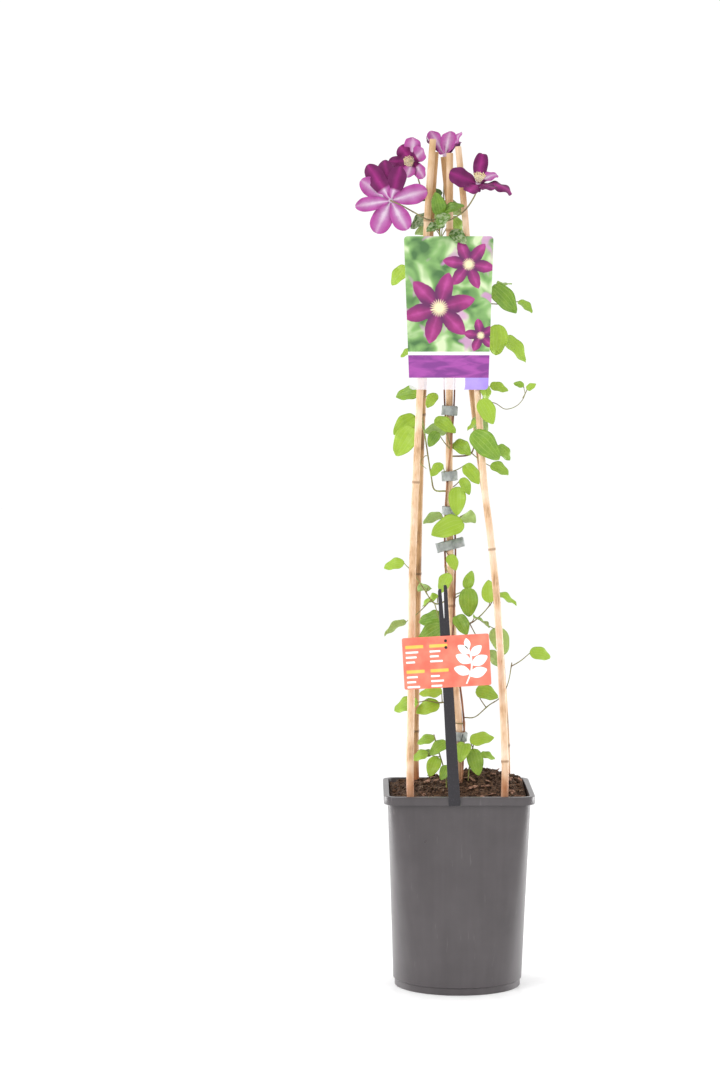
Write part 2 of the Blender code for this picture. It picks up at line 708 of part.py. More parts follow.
def cane_knots(cane):
    """Return the points and radii along a cane, swollen at its joints."""
    line = cane_line(cane)
    low, high = line[0].z, line[-1].z
    stations = {point.z: 1.0 for point in line}
    for joint in cane.joints:
        for offset, swell in ((-CANE_NODE_REACH, 1.0), (0.0, CANE_NODE_SWELL), (CANE_NODE_REACH, 0.98)):
            place = joint * MM + offset
            stations = {z: kept for z, kept in stations.items()
                        if abs(z - place) > CANE_NODE_CLEAR or kept != 1.0}
            stations[place] = swell
    heights = sorted(stations)
    knots = [line_at_height(line, height) for height in heights]
    thinner = cane.tip_radius - cane.foot_radius
    radii = [(cane.foot_radius + thinner * (z - low) / (high - low)) * MM * stations[z] for z in heights]
    return knots, radii


def make_canes(home):
    """Make the five canes and return them by name, with their lines."""
    lines = {}
    for cane in CANES:
        knots, radii = cane_knots(cane)
        add_object(cane.name, tube(knots, radii, CANE_SIDES, home), cane.colour, home)
        lines[cane.name] = cane_line(cane)
    return lines


def cane_hole(cane):
    """Return a cutter for a cane's hole in the soil."""
    line = cane_line(cane)
    start = line[0] - Vector((0, 0, GAP))
    end = line_at_height(line, POT_HEIGHT + 60 * MM)
    radius = cane.foot_radius * MM * CANE_NODE_SWELL + GAP
    guide_line = [start, *[point for point in line[1:] if point.z < end.z], end]
    return guide_line, [radius] * len(guide_line)


def outline_plate(points, thick, home):
    """Make a flat plate from an outline in its own X and Y, thick along its Z."""
    curve = bpy.data.curves.new("plate", "CURVE")
    curve.dimensions = "2D"
    curve.fill_mode = "BOTH"
    curve.extrude = thick / 2
    spline = curve.splines.new("POLY")
    spline.points.add(len(points) - 1)
    spline.use_cyclic_u = True
    for knot, point in zip(spline.points, points):
        knot.co = (point[0], point[1], 0.0, 1.0)
    thing = bpy.data.objects.new("plate", curve)
    home.objects.link(thing)
    return weld(baked_mesh(thing))


def round_corners(corners, radius, steps=4):
    """Return an outline with each corner rounded by a quadratic arc."""
    outline = []
    for index, corner in enumerate(corners):
        corner = Vector(corner)
        before = (Vector(corners[index - 1]) - corner).normalized() * radius
        after = (Vector(corners[(index + 1) % len(corners)]) - corner).normalized() * radius
        for step in range(steps + 1):
            t = step / steps
            outline.append(corner + before * (1 - t) ** 2 + after * t ** 2)
    return outline


def stake_frame():
    """Return the stake's frame: X across, Y up along it, Z to the front."""
    upright = Matrix.Rotation(math.radians(90), 4, "X")
    lean = Matrix.Rotation(-CARD_TILT, 4, "Y")
    return Matrix.Translation(STAKE_FOOT) @ lean @ upright


def box(size, centre, place):
    """Make a box mesh from its sizes and centre in a frame."""
    shape = bmesh.new()
    form = place @ Matrix.Translation(centre) @ Matrix.Diagonal((*size, 1))
    bmesh.ops.create_cube(shape, size=1.0, matrix=form)
    mesh = bpy.data.meshes.new("box")
    shape.to_mesh(mesh)
    shape.free()
    return mesh


def make_stake(home):
    """Make the forked stake, its two card pegs and the hook over the pot's rim."""
    frame = stake_frame()
    foot, tip = STAKE_FOOT_WIDTH / 2, STAKE_TOP_WIDTH / 2
    slot = STAKE_SLOT / 2
    fork = STAKE_LENGTH - STAKE_FORK
    outline = [(-foot, 0), (foot, 0), (tip, STAKE_LENGTH - 3 * MM), (tip - 1 * MM, STAKE_LENGTH),
               (slot, STAKE_LENGTH), (0.4 * MM, fork), (-0.4 * MM, fork), (-slot, STAKE_LENGTH - 5 * MM),
               (-tip + 1 * MM, STAKE_LENGTH - 5 * MM), (-tip, STAKE_LENGTH - 8 * MM)]
    strip = outline_plate(outline, STAKE_THICK, home)
    strip.transform(frame)
    front = STAKE_THICK / 2
    pegs = [cylinder(PEG_RADIUS, 0, front + PEG_REACH, 10, frame @ Matrix.Translation((0, height, 0)))
            for height in PEG_HEIGHTS]
    rim_top = POT_HEIGHT - STAKE_FOOT.z + HOOK_OVER_RIM
    hook_width = STAKE_FOOT_WIDTH * 0.8
    bridge = box((hook_width, HOOK_THICK, HOOK_REACH),
                 (0, rim_top + HOOK_THICK / 2, -HOOK_REACH / 2), frame)
    leg_height = HOOK_DROP + HOOK_THICK
    leg = box((hook_width, leg_height, HOOK_THICK),
              (0, rim_top + HOOK_THICK - leg_height / 2, -HOOK_REACH), frame)
    add_object("label_stake", united(strip, [*pegs, bridge, leg], home), "stake_plastic", home)


def make_card(home, guides):
    """Make the care card, which hangs on the stake's pegs."""
    half_width, half_height = CARD_WIDTH / 2, CARD_HEIGHT / 2
    corners = [(-half_width, -half_height), (half_width, -half_height), (half_width, half_height),
               (-half_width, half_height)]
    plate = outline_plate(round_corners(corners, CARD_CORNER), CARD_THICK, home)
    out = STAKE_THICK / 2 + GAP + CARD_THICK / 2
    frame = stake_frame()
    plate.transform(frame @ Matrix.Translation((0, CARD_CENTRE, out)))
    holes = [cylinder(PEG_RADIUS + PEG_HOLE_PLAY, 0, 10 * MM, 10, frame @ Matrix.Translation((0, height, 0)))
             for height in PEG_HEIGHTS]
    cut("info_card", plate, holes, "card", home, guides)


def make_label(lines, home):
    """Make the plant label, which leans on the two front canes."""
    top = line_at_height(lines["cane_front_left"], LABEL_TOP)
    foot = line_at_height(lines["cane_front_left"], LABEL_TOP - LABEL_HEIGHT)
    reach = max(cane.foot_radius for cane in CANES) * MM * CANE_NODE_SWELL + GAP + LABEL_THICK / 2
    lean = math.atan2(top.y - foot.y, top.z - foot.z)
    corners = [(-LABEL_FOOT_WIDTH / 2, -LABEL_HEIGHT), (LABEL_FOOT_WIDTH / 2, -LABEL_HEIGHT),
               (LABEL_TOP_WIDTH / 2, 0), (-LABEL_TOP_WIDTH / 2, 0)]
    plate = outline_plate(round_corners(corners, LABEL_CORNER), LABEL_THICK, home)
    upright = Matrix.Rotation(math.radians(90) - lean, 4, "X")
    plate.transform(Matrix.Translation((LABEL_CENTRE_X, top.y - reach, LABEL_TOP)) @ upright)
    add_object("plant_label", plate, "label", home)


def twine_line(cane, start_turn, high):
    """Return the line of a stem that twines round the centre cane."""
    line = []
    height = STEM_ROOT
    while height <= high:
        turn = start_turn + 2 * math.pi * (height - TWINE_LEVEL) / TWINE_PITCH
        below = min(1.0, max(0.0, (STEM_ROOT_TOP - height) / (STEM_ROOT_TOP - SOIL_EDGE)))
        ring = STEM_RING + STEM_ROOT_SPREAD * below
        centre = line_at_height(cane, height)
        line.append(centre + Vector((math.cos(turn), math.sin(turn), 0)) * ring)
        height += STEM_STEP
    return line


def make_ties(cane, home):
    """Make the tape ties, each a closed band round the centre cane and its stems."""
    for name, height, half_width, tilt, band in TIES:
        shape = bmesh.new()
        bmesh.ops.create_cone(shape, cap_ends=False, segments=TIE_POINTS, radius1=1, radius2=1,
                              depth=band * MM)
        loose = half_width * MM > TIE_INNER + GAP
        depth = TIE_LOOSE_DEPTH if loose else TIE_INNER
        bmesh.ops.scale(shape, vec=(half_width * MM, depth, 1), verts=shape.verts)
        bmesh.ops.recalc_face_normals(shape, faces=shape.faces)
        bmesh.ops.solidify(shape, geom=shape.faces[:], thickness=-TIE_THICK)
        bmesh.ops.recalc_face_normals(shape, faces=shape.faces)
        mesh = bpy.data.meshes.new(name)
        shape.to_mesh(mesh)
        shape.free()
        centre = line_at_height(cane, height * MM)
        mesh.transform(Matrix.Translation(centre) @ Matrix.Rotation(math.radians(tilt), 4, "Y"))
        add_object(name, mesh, "tape", home)


def leaf_width(t):
    """Return a leaf's relative half-width at a share of its length: ovate, pointed."""
    return math.sqrt(t) * (1 - t) ** 0.8 / 0.42


def tepal_width(t):
    """Return a tepal's relative half-width: narrow claw, broad middle, pointed tip."""
    return t ** 0.8 * (1 - t) ** 0.5 / 0.42


def bent(length, arch, late, t):
    """Return how far along and down a rib is at a share t, when its bend grows as t ** late."""
    steps = 24
    along = drop = 0.0
    for step in range(steps):
        bend = arch * (t * (step + 0.5) / steps) ** late
        along += math.cos(bend) / steps
        drop += math.sin(bend) / steps
    return length * t * along, length * t * drop


def blade(length, width, outline, columns, rows, thick, fold, arch, late, wave, phase):
    """Make a waved blade as a bmesh, along its own +Y with its upper face to +Z.

    A grid takes the outline's width row by row, is arched along its length,
    folded along its rib and waved at its edges, then made solid.
    """
    shape = bmesh.new()
    bmesh.ops.create_grid(shape, x_segments=columns, y_segments=rows, size=1)
    for vert in shape.verts:
        across, t = vert.co.x, (vert.co.y + 1) / 2
        half = width / 2 * outline(min(max(t, 0.0), 1.0)) if 0.001 < t < 0.999 else 0.0
        bend = arch * max(t, 0.0) ** late
        along, drop = bent(length, arch, late, t)
        ripple = wave * math.sin(rows * math.pi * t + phase + (1.3 if across > 0 else 0.0))
        lift = abs(across) * (fold * half + ripple * min(1.0, half / (0.2 * width)))
        vert.co = (across * half, along + lift * math.sin(bend), -drop + lift * math.cos(bend))
    bmesh.ops.remove_doubles(shape, verts=shape.verts, dist=0.01 * MM)
    bmesh.ops.triangulate(shape, faces=shape.faces)
    bmesh.ops.recalc_face_normals(shape, faces=shape.faces)
    bmesh.ops.solidify(shape, geom=shape.faces[:], thickness=thick)
    bmesh.ops.recalc_face_normals(shape, faces=shape.faces)
    bmesh.ops.translate(shape, verts=shape.verts, vec=(0, 0, thick / 2))
    return shape


def frame_along(origin, forward, upper):
    """Return a frame with +Y forward and +Z as near to the upper direction as it goes."""
    forward = forward.normalized()
    side = forward.cross(upper)
    if side.length < 1e-3:
        side = forward.cross(Vector((1, 0.2, 0)))
    side.normalize()
    normal = side.cross(forward).normalized()
    turn = Matrix((side, forward, normal)).transposed().to_4x4()
    return Matrix.Translation(origin) @ turn


class Clearance:
    """The solids placed so far, which later blades and stalks keep clear of."""

    def __init__(self):
        self.trees = []

    def add(self, owner, mesh):
        """Remember a mesh under its owner's name."""
        self.trees.append((owner, search_tree(mesh)))

    def is_free(self, mesh, owner=None):
        """Tell whether a mesh crosses nothing but its own owner's solids."""
        tree = search_tree(mesh)
        return not any(tree.overlap(other) for name, other in self.trees if name != owner)


def search_tree(mesh):
    """Return a mesh's faces as a tree that finds crossings."""
    points = [vert.co.copy() for vert in mesh.vertices]
    return BVHTree.FromPolygons(points, [tuple(face.vertices) for face in mesh.polygons])


def to_mesh(shape, place=Matrix()):
    """Turn a bmesh into a placed mesh."""
    mesh = bpy.data.meshes.new("blade")
    shape.to_mesh(mesh)
    shape.free()
    mesh.transform(place)
    return mesh


def direction(heading, pitch):
    """Return the unit vector of a heading and a pitch in degrees."""
    turn, rise = math.radians(heading), math.radians(pitch)
    return Vector((math.cos(turn) * math.cos(rise), math.sin(turn) * math.cos(rise), math.sin(rise)))


def nearest_on(lines, place):
    """Return the point nearest to a place on any of some sampled lines."""
    found = []
    for line in lines:
        for start, end in zip(line, line[1:]):
            point, share = intersect_point_line(place, start, end)
            point = start.lerp(end, min(1.0, max(0.0, share)))
            found.append(((place - point).length, point))
    return min(found, key=lambda pair: pair[0])[1]


def seat_on(line, radii, place):
    """Return the point just clear of a stem's surface, on its side towards a place."""
    root = nearest_on([line], place)
    radius = min(zip(line, radii), key=lambda knot: (knot[0] - root).length)[1]
    return root + (place - root).normalized() * (radius + GAP)


def leaf_tries(name, index, leaf):
    """Yield places for a leaf: first as measured, then shifted and swung ever further."""
    rng = random.Random(f"{SEED}-{name}-{index}-tries")
    yield leaf
    for attempt in range(1, PLACING_TRIES):
        shift = [reach * attempt * rng.uniform(-1, 1) for reach in PLACING_SHIFT]
        swing = min(60.0, PLACING_SWING * attempt)
        yield replace(leaf, centre=tuple(Vector(leaf.centre) + Vector(shift)),
                      heading=leaf.heading + swing * rng.uniform(-1, 1),
                      pitch=leaf.pitch + 0.65 * swing * rng.uniform(-1, 1),
                      drop=rng.choice(PLACING_DROPS))


def leaf_form(name, index, leaf, lines):
    """Return a leaf's blade values, its blade's frame and its stalk's line."""
    rng = random.Random(f"{SEED}-{name}-{index}")
    length = leaf.length * MM
    width = length * rng.uniform(0.56, 0.68)
    fold, arch = rng.uniform(0.15, 0.4), rng.uniform(0.25, 0.7)
    wave, phase = rng.uniform(0.03, 0.05) * length, rng.uniform(0, math.pi)
    along = direction(leaf.heading, leaf.pitch)
    facing = Vector((0, -leaf.facing, 1 - 0.55 * abs(leaf.facing)))
    facing += direction(leaf.heading, 0) * rng.uniform(-0.2, 0.2)
    base = Vector(leaf.centre) * MM - along * length / 2
    root = nearest_on(lines, base - Vector((0, 0, leaf.drop * MM)))
    arm = [root, base + along * STALK_INTO_BLADE]
    return (length, width, fold, arch, wave, phase), frame_along(base, along, facing), arm


def leaf_meshes(values, frame, arm, grown, home):
    """Return the meshes of a leaf's blade and stalk, both grown outward by a margin."""
    length, width, fold, arch, wave, phase = values
    form = blade(length, width, leaf_width, LEAF_COLUMNS, LEAF_ROWS, LEAF_THICK + 2 * grown,
                 fold, arch, 1, wave, phase)
    radii = taper(arm, STALK_RADIUS * 1.1 + grown / 2, STALK_RADIUS * 0.9 + grown / 2)
    return to_mesh(form, frame), tube(arm, radii, STALK_SIDES, home)


def place_leaf(name, index, leaf, lines, clearance, home):
    """Return a leaf's blade and stalk at its first try that crosses nothing."""
    for place in leaf_tries(name, index, leaf):
        values, frame, arm = leaf_form(name, index, place, lines)
        guards = leaf_meshes(values, frame, arm, BLADE_CLEARANCE, home)
        clear = (arm[0] - arm[1]).length < STALK_LONGEST
        clear = clear and clearance.is_free(guards[0]) and clearance.is_free(guards[1], name)
        if clear:
            for guard in guards:
                clearance.add(f"{name} leaves", guard)
        for guard in guards:
            bpy.data.meshes.remove(guard)
        if clear:
            return list(leaf_meshes(values, frame, arm, 0.0, home))
    print(f"{name}: no free place for leaf {index}")
    return []


def make_leafy_stem(name, line, radii, tendrils, clearance, home):
    """Make a stem with its leaves and tendrils, fused into one solid."""
    pieces = [tube(curl, taper(curl, 0.7 * MM, 0.55 * MM), STALK_SIDES, home) for curl in tendrils]
    for index, leaf in enumerate(LEAVES[name]):
        pieces += place_leaf(name, index, leaf, [line, *tendrils], clearance, home)
    stem = tube(line, radii, SHOOT_SIDES, home)
    add_object(name, united(stem, pieces, home), "leaf", home)


def tepal_layer(index):
    """Return the tilt that keeps neighbouring tepals apart, in degrees."""
    return 5 if index % 2 else -5


def bloom_frame(bloom):
    """Return a bloom's frame: +Y along its axis, at its centre."""
    return frame_along(Vector(bloom.centre) * MM, Vector(bloom.axis), Vector((0.05, 0.1, 1)))


def tepal_forms(bloom):
    """Return the blade values and frame of each of a bloom's tepals."""
    rng = random.Random(f"{SEED}-{bloom.name}")
    frame = bloom_frame(bloom)
    forms = []
    for index, tepal in enumerate(bloom.tepals):
        turn = math.radians(tepal.turn)
        phase = rng.uniform(0, math.pi)
        radial = Vector((math.cos(turn), 0, math.sin(turn)))
        spread = math.radians(bloom.spread + tepal.lean + tepal_layer(index))
        outward = Vector((0, 1, 0)) * math.cos(spread) + radial * math.sin(spread)
        inner = Vector((0, 1, 0)) * math.sin(spread) - radial * math.cos(spread)
        roll = Matrix.Rotation(math.radians(tepal.roll), 4, "Y")
        place = frame @ frame_along(outward * 1.5 * MM, outward, inner) @ roll
        forms.append(((tepal.length * MM, tepal.width * MM, math.radians(tepal.curl), phase), place))
    return forms


def make_bloom(bloom, stems, home):
    """Make a bloom: its fused tepals, its stamens and its stalk."""
    frame = bloom_frame(bloom)
    core_shape = bmesh.new()
    bmesh.ops.create_cone(core_shape, cap_ends=True, segments=8, radius1=CORE_RADIUS, radius2=CORE_RADIUS,
                          depth=2 * CORE_HALF, matrix=frame @ Matrix.Rotation(math.radians(90), 4, "X"))
    tepals = []
    for (length, width, curl, phase), place in tepal_forms(bloom):
        form = blade(length, width, tepal_width, TEPAL_COLUMNS, TEPAL_ROWS, TEPAL_THICK,
                     TEPAL_FOLD, curl, 2, TEPAL_WAVE * length, phase)
        tepals.append(to_mesh(form, place))
    add_object(f"{bloom.name}_tepals", united(to_mesh(core_shape), tepals, home), "tepal", home)
    make_stamens(bloom, frame, home)
    route = stalk_line(bloom, stems)
    stalk = tube(route, taper(route, 1.0 * MM, 0.9 * MM), SHOOT_SIDES, home)
    add_object(f"{bloom.name}_stalk", stalk, "stalk", home)


def stalk_line(bloom, stems):
    """Return a bloom's stalk, from just behind its core to just clear of its carrier."""
    frame = bloom_frame(bloom)
    start = frame @ Vector((0, -CORE_HALF - GAP, 0))
    behind = frame @ Vector((0, -CORE_HALF - 6 * MM, 0))
    bends = millimetres(bloom.stalk_route)
    line, radii, _ = stems[bloom.carrier]
    return smooth_line([start, behind, *bends, seat_on(line, radii, bends[-1])], SHOOT_STEP)


def make_stamens(bloom, frame, home):
    """Make a bloom's tuft of stamens, seated just clear of its tepals' core."""
    rng = random.Random(f"{SEED}-{bloom.name}-stamens")
    seat = CORE_HALF + GAP
    base_shape = bmesh.new()
    place = frame @ Matrix.Translation((0, seat + 2 * MM, 0)) @ Matrix.Rotation(math.radians(-90), 4, "X")
    bmesh.ops.create_cone(base_shape, cap_ends=True, segments=6, radius1=2.6 * MM, radius2=2.0 * MM,
                          depth=4 * MM, matrix=place)
    base = to_mesh(base_shape)
    filaments = []
    for index in range(STAMEN_COUNT):
        turn = math.radians(137.5 * index)
        lean = math.radians(8 + 2.8 * index) * min(1.0, bloom.spread / 70)
        aim = Vector((math.cos(turn) * math.sin(lean), math.cos(lean), math.sin(turn) * math.sin(lean)))
        length = bloom.stamens * MM * rng.uniform(0.85, 1.1)
        start = frame @ (Vector((0, seat + 2 * MM, 0)) + Vector((aim.x, 0, aim.z)) * 2 * MM)
        end = start + (frame.to_3x3() @ aim) * length
        filaments.append(tube([start, end], [0.55 * MM, 0.75 * MM], STALK_SIDES, home))
    add_object(f"{bloom.name}_stamens", united(base, filaments, home), "stamen", home)


def stem_lines(cane):
    """Return each stem's line, radii and tendrils: the two twining stems and the shoots."""
    right = twine_line(cane, 0.0, STEM_TOP)
    left = twine_line(cane, math.pi, STEM_TOP)
    stems = {"vine_right": (right, taper(right, STEM_RADIUS, STEM_RADIUS * 0.7), []),
             "vine_left": (left, taper(left, STEM_RADIUS, STEM_RADIUS * 0.7), [])}
    for shoot in SHOOTS:
        route = millimetres(shoot.route)
        if shoot.carrier:
            line, radii, _ = stems[shoot.carrier]
            route.insert(0, seat_on(line, radii, route[0]))
        line = smooth_line(route, SHOOT_STEP)
        tendrils = []
        for points in shoot.tendrils:
            bends = millimetres(points)
            tendrils.append(smooth_line([nearest_on([line], bends[0]), *bends], 12 * MM))
        stems[shoot.name] = (line, taper(line, shoot.radius * MM, shoot.tip_radius * MM), tendrils)
    return stems


def main():
    """Build the pot, its filling, the canes, the climbing plant and its labels."""
    clear_scene()
    plant = collection("clematis_on_canes")
    guides = collection("cutters")
    make_pot(plant, guides)
    lines = make_canes(plant)
    make_ties(lines["cane_centre"], plant)
    make_stake(plant)
    make_card(plant, guides)
    make_label(lines, plant)

    stems = stem_lines(lines["cane_centre"])
    for bloom in BLOOMS:
        make_bloom(bloom, stems, plant)

    bpy.context.view_layer.update()
    graph = bpy.context.evaluated_depsgraph_get()
    clearance = Clearance()
    for thing in plant.objects:
        clearance.add(thing.name, thing.evaluated_get(graph).to_mesh())
    clearance.add("soil", soil_heap())
    for name, (line, radii, tendrils) in stems.items():
        clearance.add(name, tube(line, radii, SHOOT_SIDES, plant))
        for curl in tendrils:
            clearance.add(name, tube(curl, [0.9 * MM] * len(curl), STALK_SIDES, plant))

    hole_tubes = []
    for cane in CANES:
        hole_line, hole_radii = cane_hole(cane)
        hole_tubes.append(tube(hole_line, hole_radii, CANE_SIDES, plant))
    for name, (line, radii, tendrils) in stems.items():
        make_leafy_stem(name, line, radii, tendrils, clearance, plant)
        if line[0].z < SOIL_EDGE:
            down = line[0] - Vector((0, 0, GAP))
            sunk = [down, *[point for point in line if point.z < POT_HEIGHT + 50 * MM]]
            hole_tubes.append(tube(sunk, [radii[0] + GAP] * len(sunk), SHOOT_SIDES, plant))
    make_soil(hole_tubes, plant)


main()
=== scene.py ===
"""The looks of a climbing clematis on bamboo canes, in a square-rimmed nursery pot.

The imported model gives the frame. The measures below are the model's own, so each
finer piece lies where the solid that it stands for lies. Lengths are in metres
unless a name or comment says mm. +Z is up and the plant's front faces -Y.
"""

import logging
import math
import random
from collections.abc import Callable, Iterator, Sequence
from dataclasses import dataclass, field, replace
from enum import Enum
from functools import partial

import bpy
from mathutils import Matrix, Vector, noise
from mathutils.geometry import intersect_point_line
from mathutils.kdtree import KDTree


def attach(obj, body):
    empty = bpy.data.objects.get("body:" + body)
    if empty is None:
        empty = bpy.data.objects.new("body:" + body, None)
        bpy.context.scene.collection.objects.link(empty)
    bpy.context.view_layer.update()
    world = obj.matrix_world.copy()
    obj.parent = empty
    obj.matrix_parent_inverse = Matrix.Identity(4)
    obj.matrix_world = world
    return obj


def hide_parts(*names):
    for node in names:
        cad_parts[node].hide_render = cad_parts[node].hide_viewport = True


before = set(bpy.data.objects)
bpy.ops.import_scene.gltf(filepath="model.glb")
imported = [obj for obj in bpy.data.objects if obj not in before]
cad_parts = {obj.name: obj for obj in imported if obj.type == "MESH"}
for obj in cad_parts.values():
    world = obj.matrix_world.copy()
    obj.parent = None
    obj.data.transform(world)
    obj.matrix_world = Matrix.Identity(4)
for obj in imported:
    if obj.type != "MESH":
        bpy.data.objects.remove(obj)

log = logging.getLogger("clematis")

MM = 0.001
SEED = 41
GAP = 0.3 * MM
Point = tuple[float, float, float]
Paint = dict[str, float]
Grid = list[list[int]]
Inputs = dict[int | str, object]
Socket = bpy.types.NodeSocket
AddNode = Callable[..., Socket]

# Pot and peat
POT_HEIGHT = 271 * MM
RIM_HALF = 101.5 * MM
RIM_CORNER = 20 * MM
LIP_HEIGHT = 11 * MM
LIP_WALL = 1.6 * MM
LIP_ROUND = 1.0 * MM
BODY_TOP_HALF = 95.5 * MM
BODY_TOP_CORNER = 17 * MM
BODY_FOOT_HALF = 88.0 * MM
FOOT_HALF = 86.0 * MM
FOOT_HEIGHT = 9 * MM
FOOT_STEP = 1.5 * MM
WALL = 1.8 * MM
POT_FLOOR = 2.5 * MM
ROUND_FLAT = 0.8 * MM
SOIL_EDGE = 261 * MM
SOIL_MOUND = 26 * MM
SOIL_MOUND_AT = Vector((26 * MM, 34 * MM))
SOIL_MOUND_SPREAD = 68 * MM
SOIL_LUMP = 3.2 * MM
SOIL_BACK_RISE = 5 * MM

# Canes, stems and shoots
CANE_STEP = 140 * MM
STEM_RADIUS = 1.5 * MM
STEM_RING = 7.2 * MM
STEM_ROOT = 232 * MM
STEM_TOP = 1015 * MM
STEM_ROOT_SPREAD = 5 * MM
STEM_ROOT_TOP = 325 * MM
TWINE_PITCH = 460 * MM
TWINE_LEVEL = 603 * MM
STEM_STEP = 30 * MM
SHOOT_STEP = 26 * MM
TENDRIL_STEP = 12 * MM
TIE_INNER = 9.8 * MM
TIE_LOOSE_DEPTH = 5.6 * MM

# Where a leaf is tried, as in the model
PLACING_TRIES = 160
PLACING_SHIFT = Vector((0.12, 0.2, 0.12))
PLACING_SWING = 1.1
PLACING_DROPS = (8, 4, 12, 0, 16, -6, 22)
STALK_INTO_BLADE = 0.8 * MM
SAME_PLACE = 1.6 * MM

# Blooms
CORE_RADIUS = 3.6 * MM
CORE_HALF = 3 * MM


class Facing(Enum):
    """The side of a blade that a face belongs to, as painted on its points."""

    UPPER = 0.0
    UNDER = 1.0


@dataclass(frozen=True)
class Cane:
    """A bamboo cane: its radii in mm at foot and tip, its line and its joints' heights in mm."""

    name: str
    foot_radius: float
    tip_radius: float
    line: tuple[Point, ...]
    joints: tuple[float, ...]
    weathered: bool = False


@dataclass(frozen=True)
class Leaf:
    """A leaf: its blade's centre and length in mm, its heading, pitch and facing, and its stalk's drop."""

    centre: Point
    heading: float
    pitch: float
    length: float
    facing: float = 0.8
    drop: float = 8


@dataclass(frozen=True)
class StemLine:
    """A stem's middle line, the radius at each of its points, and its tendrils' lines."""

    line: list[Vector]
    radii: list[float]
    tendrils: list[list[Vector]]


@dataclass(frozen=True)
class Shoot:
    """A leafy shoot: its carrier, its radii and route in mm, and its tendrils."""

    name: str
    carrier: str
    radius: float
    tip_radius: float
    route: tuple[Point, ...]
    tendrils: tuple[tuple[Point, ...], ...] = ()


@dataclass(frozen=True)
class Tepal:
    """A tepal in mm and degrees: its turn, length, width, backward curl, added lean, and roll on its rib."""

    turn: float
    length: float
    width: float
    curl: float = 14
    lean: float = 0
    roll: float = 0


@dataclass(frozen=True)
class Bloom:
    """An open bloom in mm and degrees: its place, its axis, its tepals' spread, its stalk and its tepals."""

    name: str
    centre: Point
    axis: Point
    spread: float
    carrier: str
    stalk_route: tuple[Point, ...]
    tepals: tuple[Tepal, ...]
    stamens: float = 11


CANES = (
    Cane("cane_front_left", 5.1, 4.5,
         ((-57, -62, 112), (-66, -76, 278), (-65, -70, 393), (-62, -53, 605), (-53, -37, 805),
          (-43, -17, 1040), (-35, -8, 1152)),
         (420, 690, 895, 1042)),
    Cane("cane_front_right", 5.0, 4.3,
         ((53, -62, 112), (61, -76, 272), (60, -70, 363), (52, -58, 515), (43, -51, 611), (33, -44, 696),
          (10, -18, 1027), (-1, -9, 1142)),
         (316, 600, 820)),
    Cane("cane_back_left", 4.9, 4.2,
         ((-50, 58, 112), (-56, 70, 278), (-54, 56, 523), (-49, 40, 752), (-36, 14, 1060), (-31, 6, 1136)),
         (340, 560, 780, 1010), True),
    Cane("cane_back_right", 4.9, 4.2,
         ((60, 60, 112), (71, 70, 271), (62, 58, 440), (48, 48, 600), (31, 40, 722), (20, 34, 812),
          (-14, 19, 1077), (-20, 15, 1130)),
         (320, 520, 740), True),
    Cane("cane_centre", 5.0, 4.6,
         ((2, 0, 60), (2, 0, 278), (2, 0, 356), (-3, 0, 410), (-8, 0, 514), (-10, 0, 560), (-12, 0, 679),
          (-12, 0, 804), (-12, 0, 1134)),
         (520, 655, 850, 1030)),
)

# Tape ties: name, height, half-width across X, tilt in degrees and the band's width, in mm.
TIES = (
    ("tape_tie_low", 341, 9.8, 4, 13),
    ("tape_tie_loose", 603, 18.5, -14, 13),
    ("tape_tie_mid", 650, 9.8, 2, 11),
    ("tape_tie_upper", 697, 9.8, -3, 13),
    ("tape_tie_high", 786, 9.8, 4, 13),
)

SHOOTS = (
    Shoot("shoot_left", "vine_left", 1.1, 0.8,
          ((-32, 2, 678), (-44, 6, 745), (-52, -2, 800), (-57, -6, 870), (-60, -4, 962)),
          (((-46, -16, 724), (-52, -26, 716), (-44, -30, 708)),)),
    Shoot("shoot_right", "vine_right", 1.1, 0.8,
          ((16, 9, 726), (28, 5, 766), (36, 2, 820), (38, 2, 880), (40, -4, 946)),
          (((50, -2, 796), (64, -4, 788), (80, -4, 793), (90, -4, 806), (89, -4, 817)),)),
    Shoot("shoot_left_mid", "vine_left", 0.9, 0.7, ((-32, -12, 524), (-48, -14, 546), (-64, -16, 570))),
    Shoot("shoot_right_mid", "vine_right", 0.9, 0.7, ((16, -4, 496), (32, -6, 508), (44, -8, 522))),
    Shoot("shoot_left_low", "vine_right", 0.9, 0.7, ((-26, -10, 388), (-44, -16, 392))),
    Shoot("shoot_right_low", "vine_left", 0.8, 0.65,
          ((24, -4, 368), (42, -8, 384), (58, -14, 396), (68, -18, 416), (73, -20, 444))),
    Shoot("shoot_base_left", "", 1.0, 0.7,
          ((-14, -16, 236), (-17, -17, 290), (-25, -20, 318), (-33, -22, 346))),
    Shoot("shoot_base_right", "", 1.0, 0.7, ((14, -8, 236), (15, -9, 292), (18, -10, 312), (22, -10, 334))),
    Shoot("shoot_top_front", "vine_right", 1.0, 0.8,
          ((-24, -18, 1000), (-26, -24, 1024), (-27, -26, 1046))),
    Shoot("shoot_top_back", "vine_left", 1.0, 0.8, ((-22, 24, 1000), (-25, 31, 1030), (-26, 33, 1062))),
)

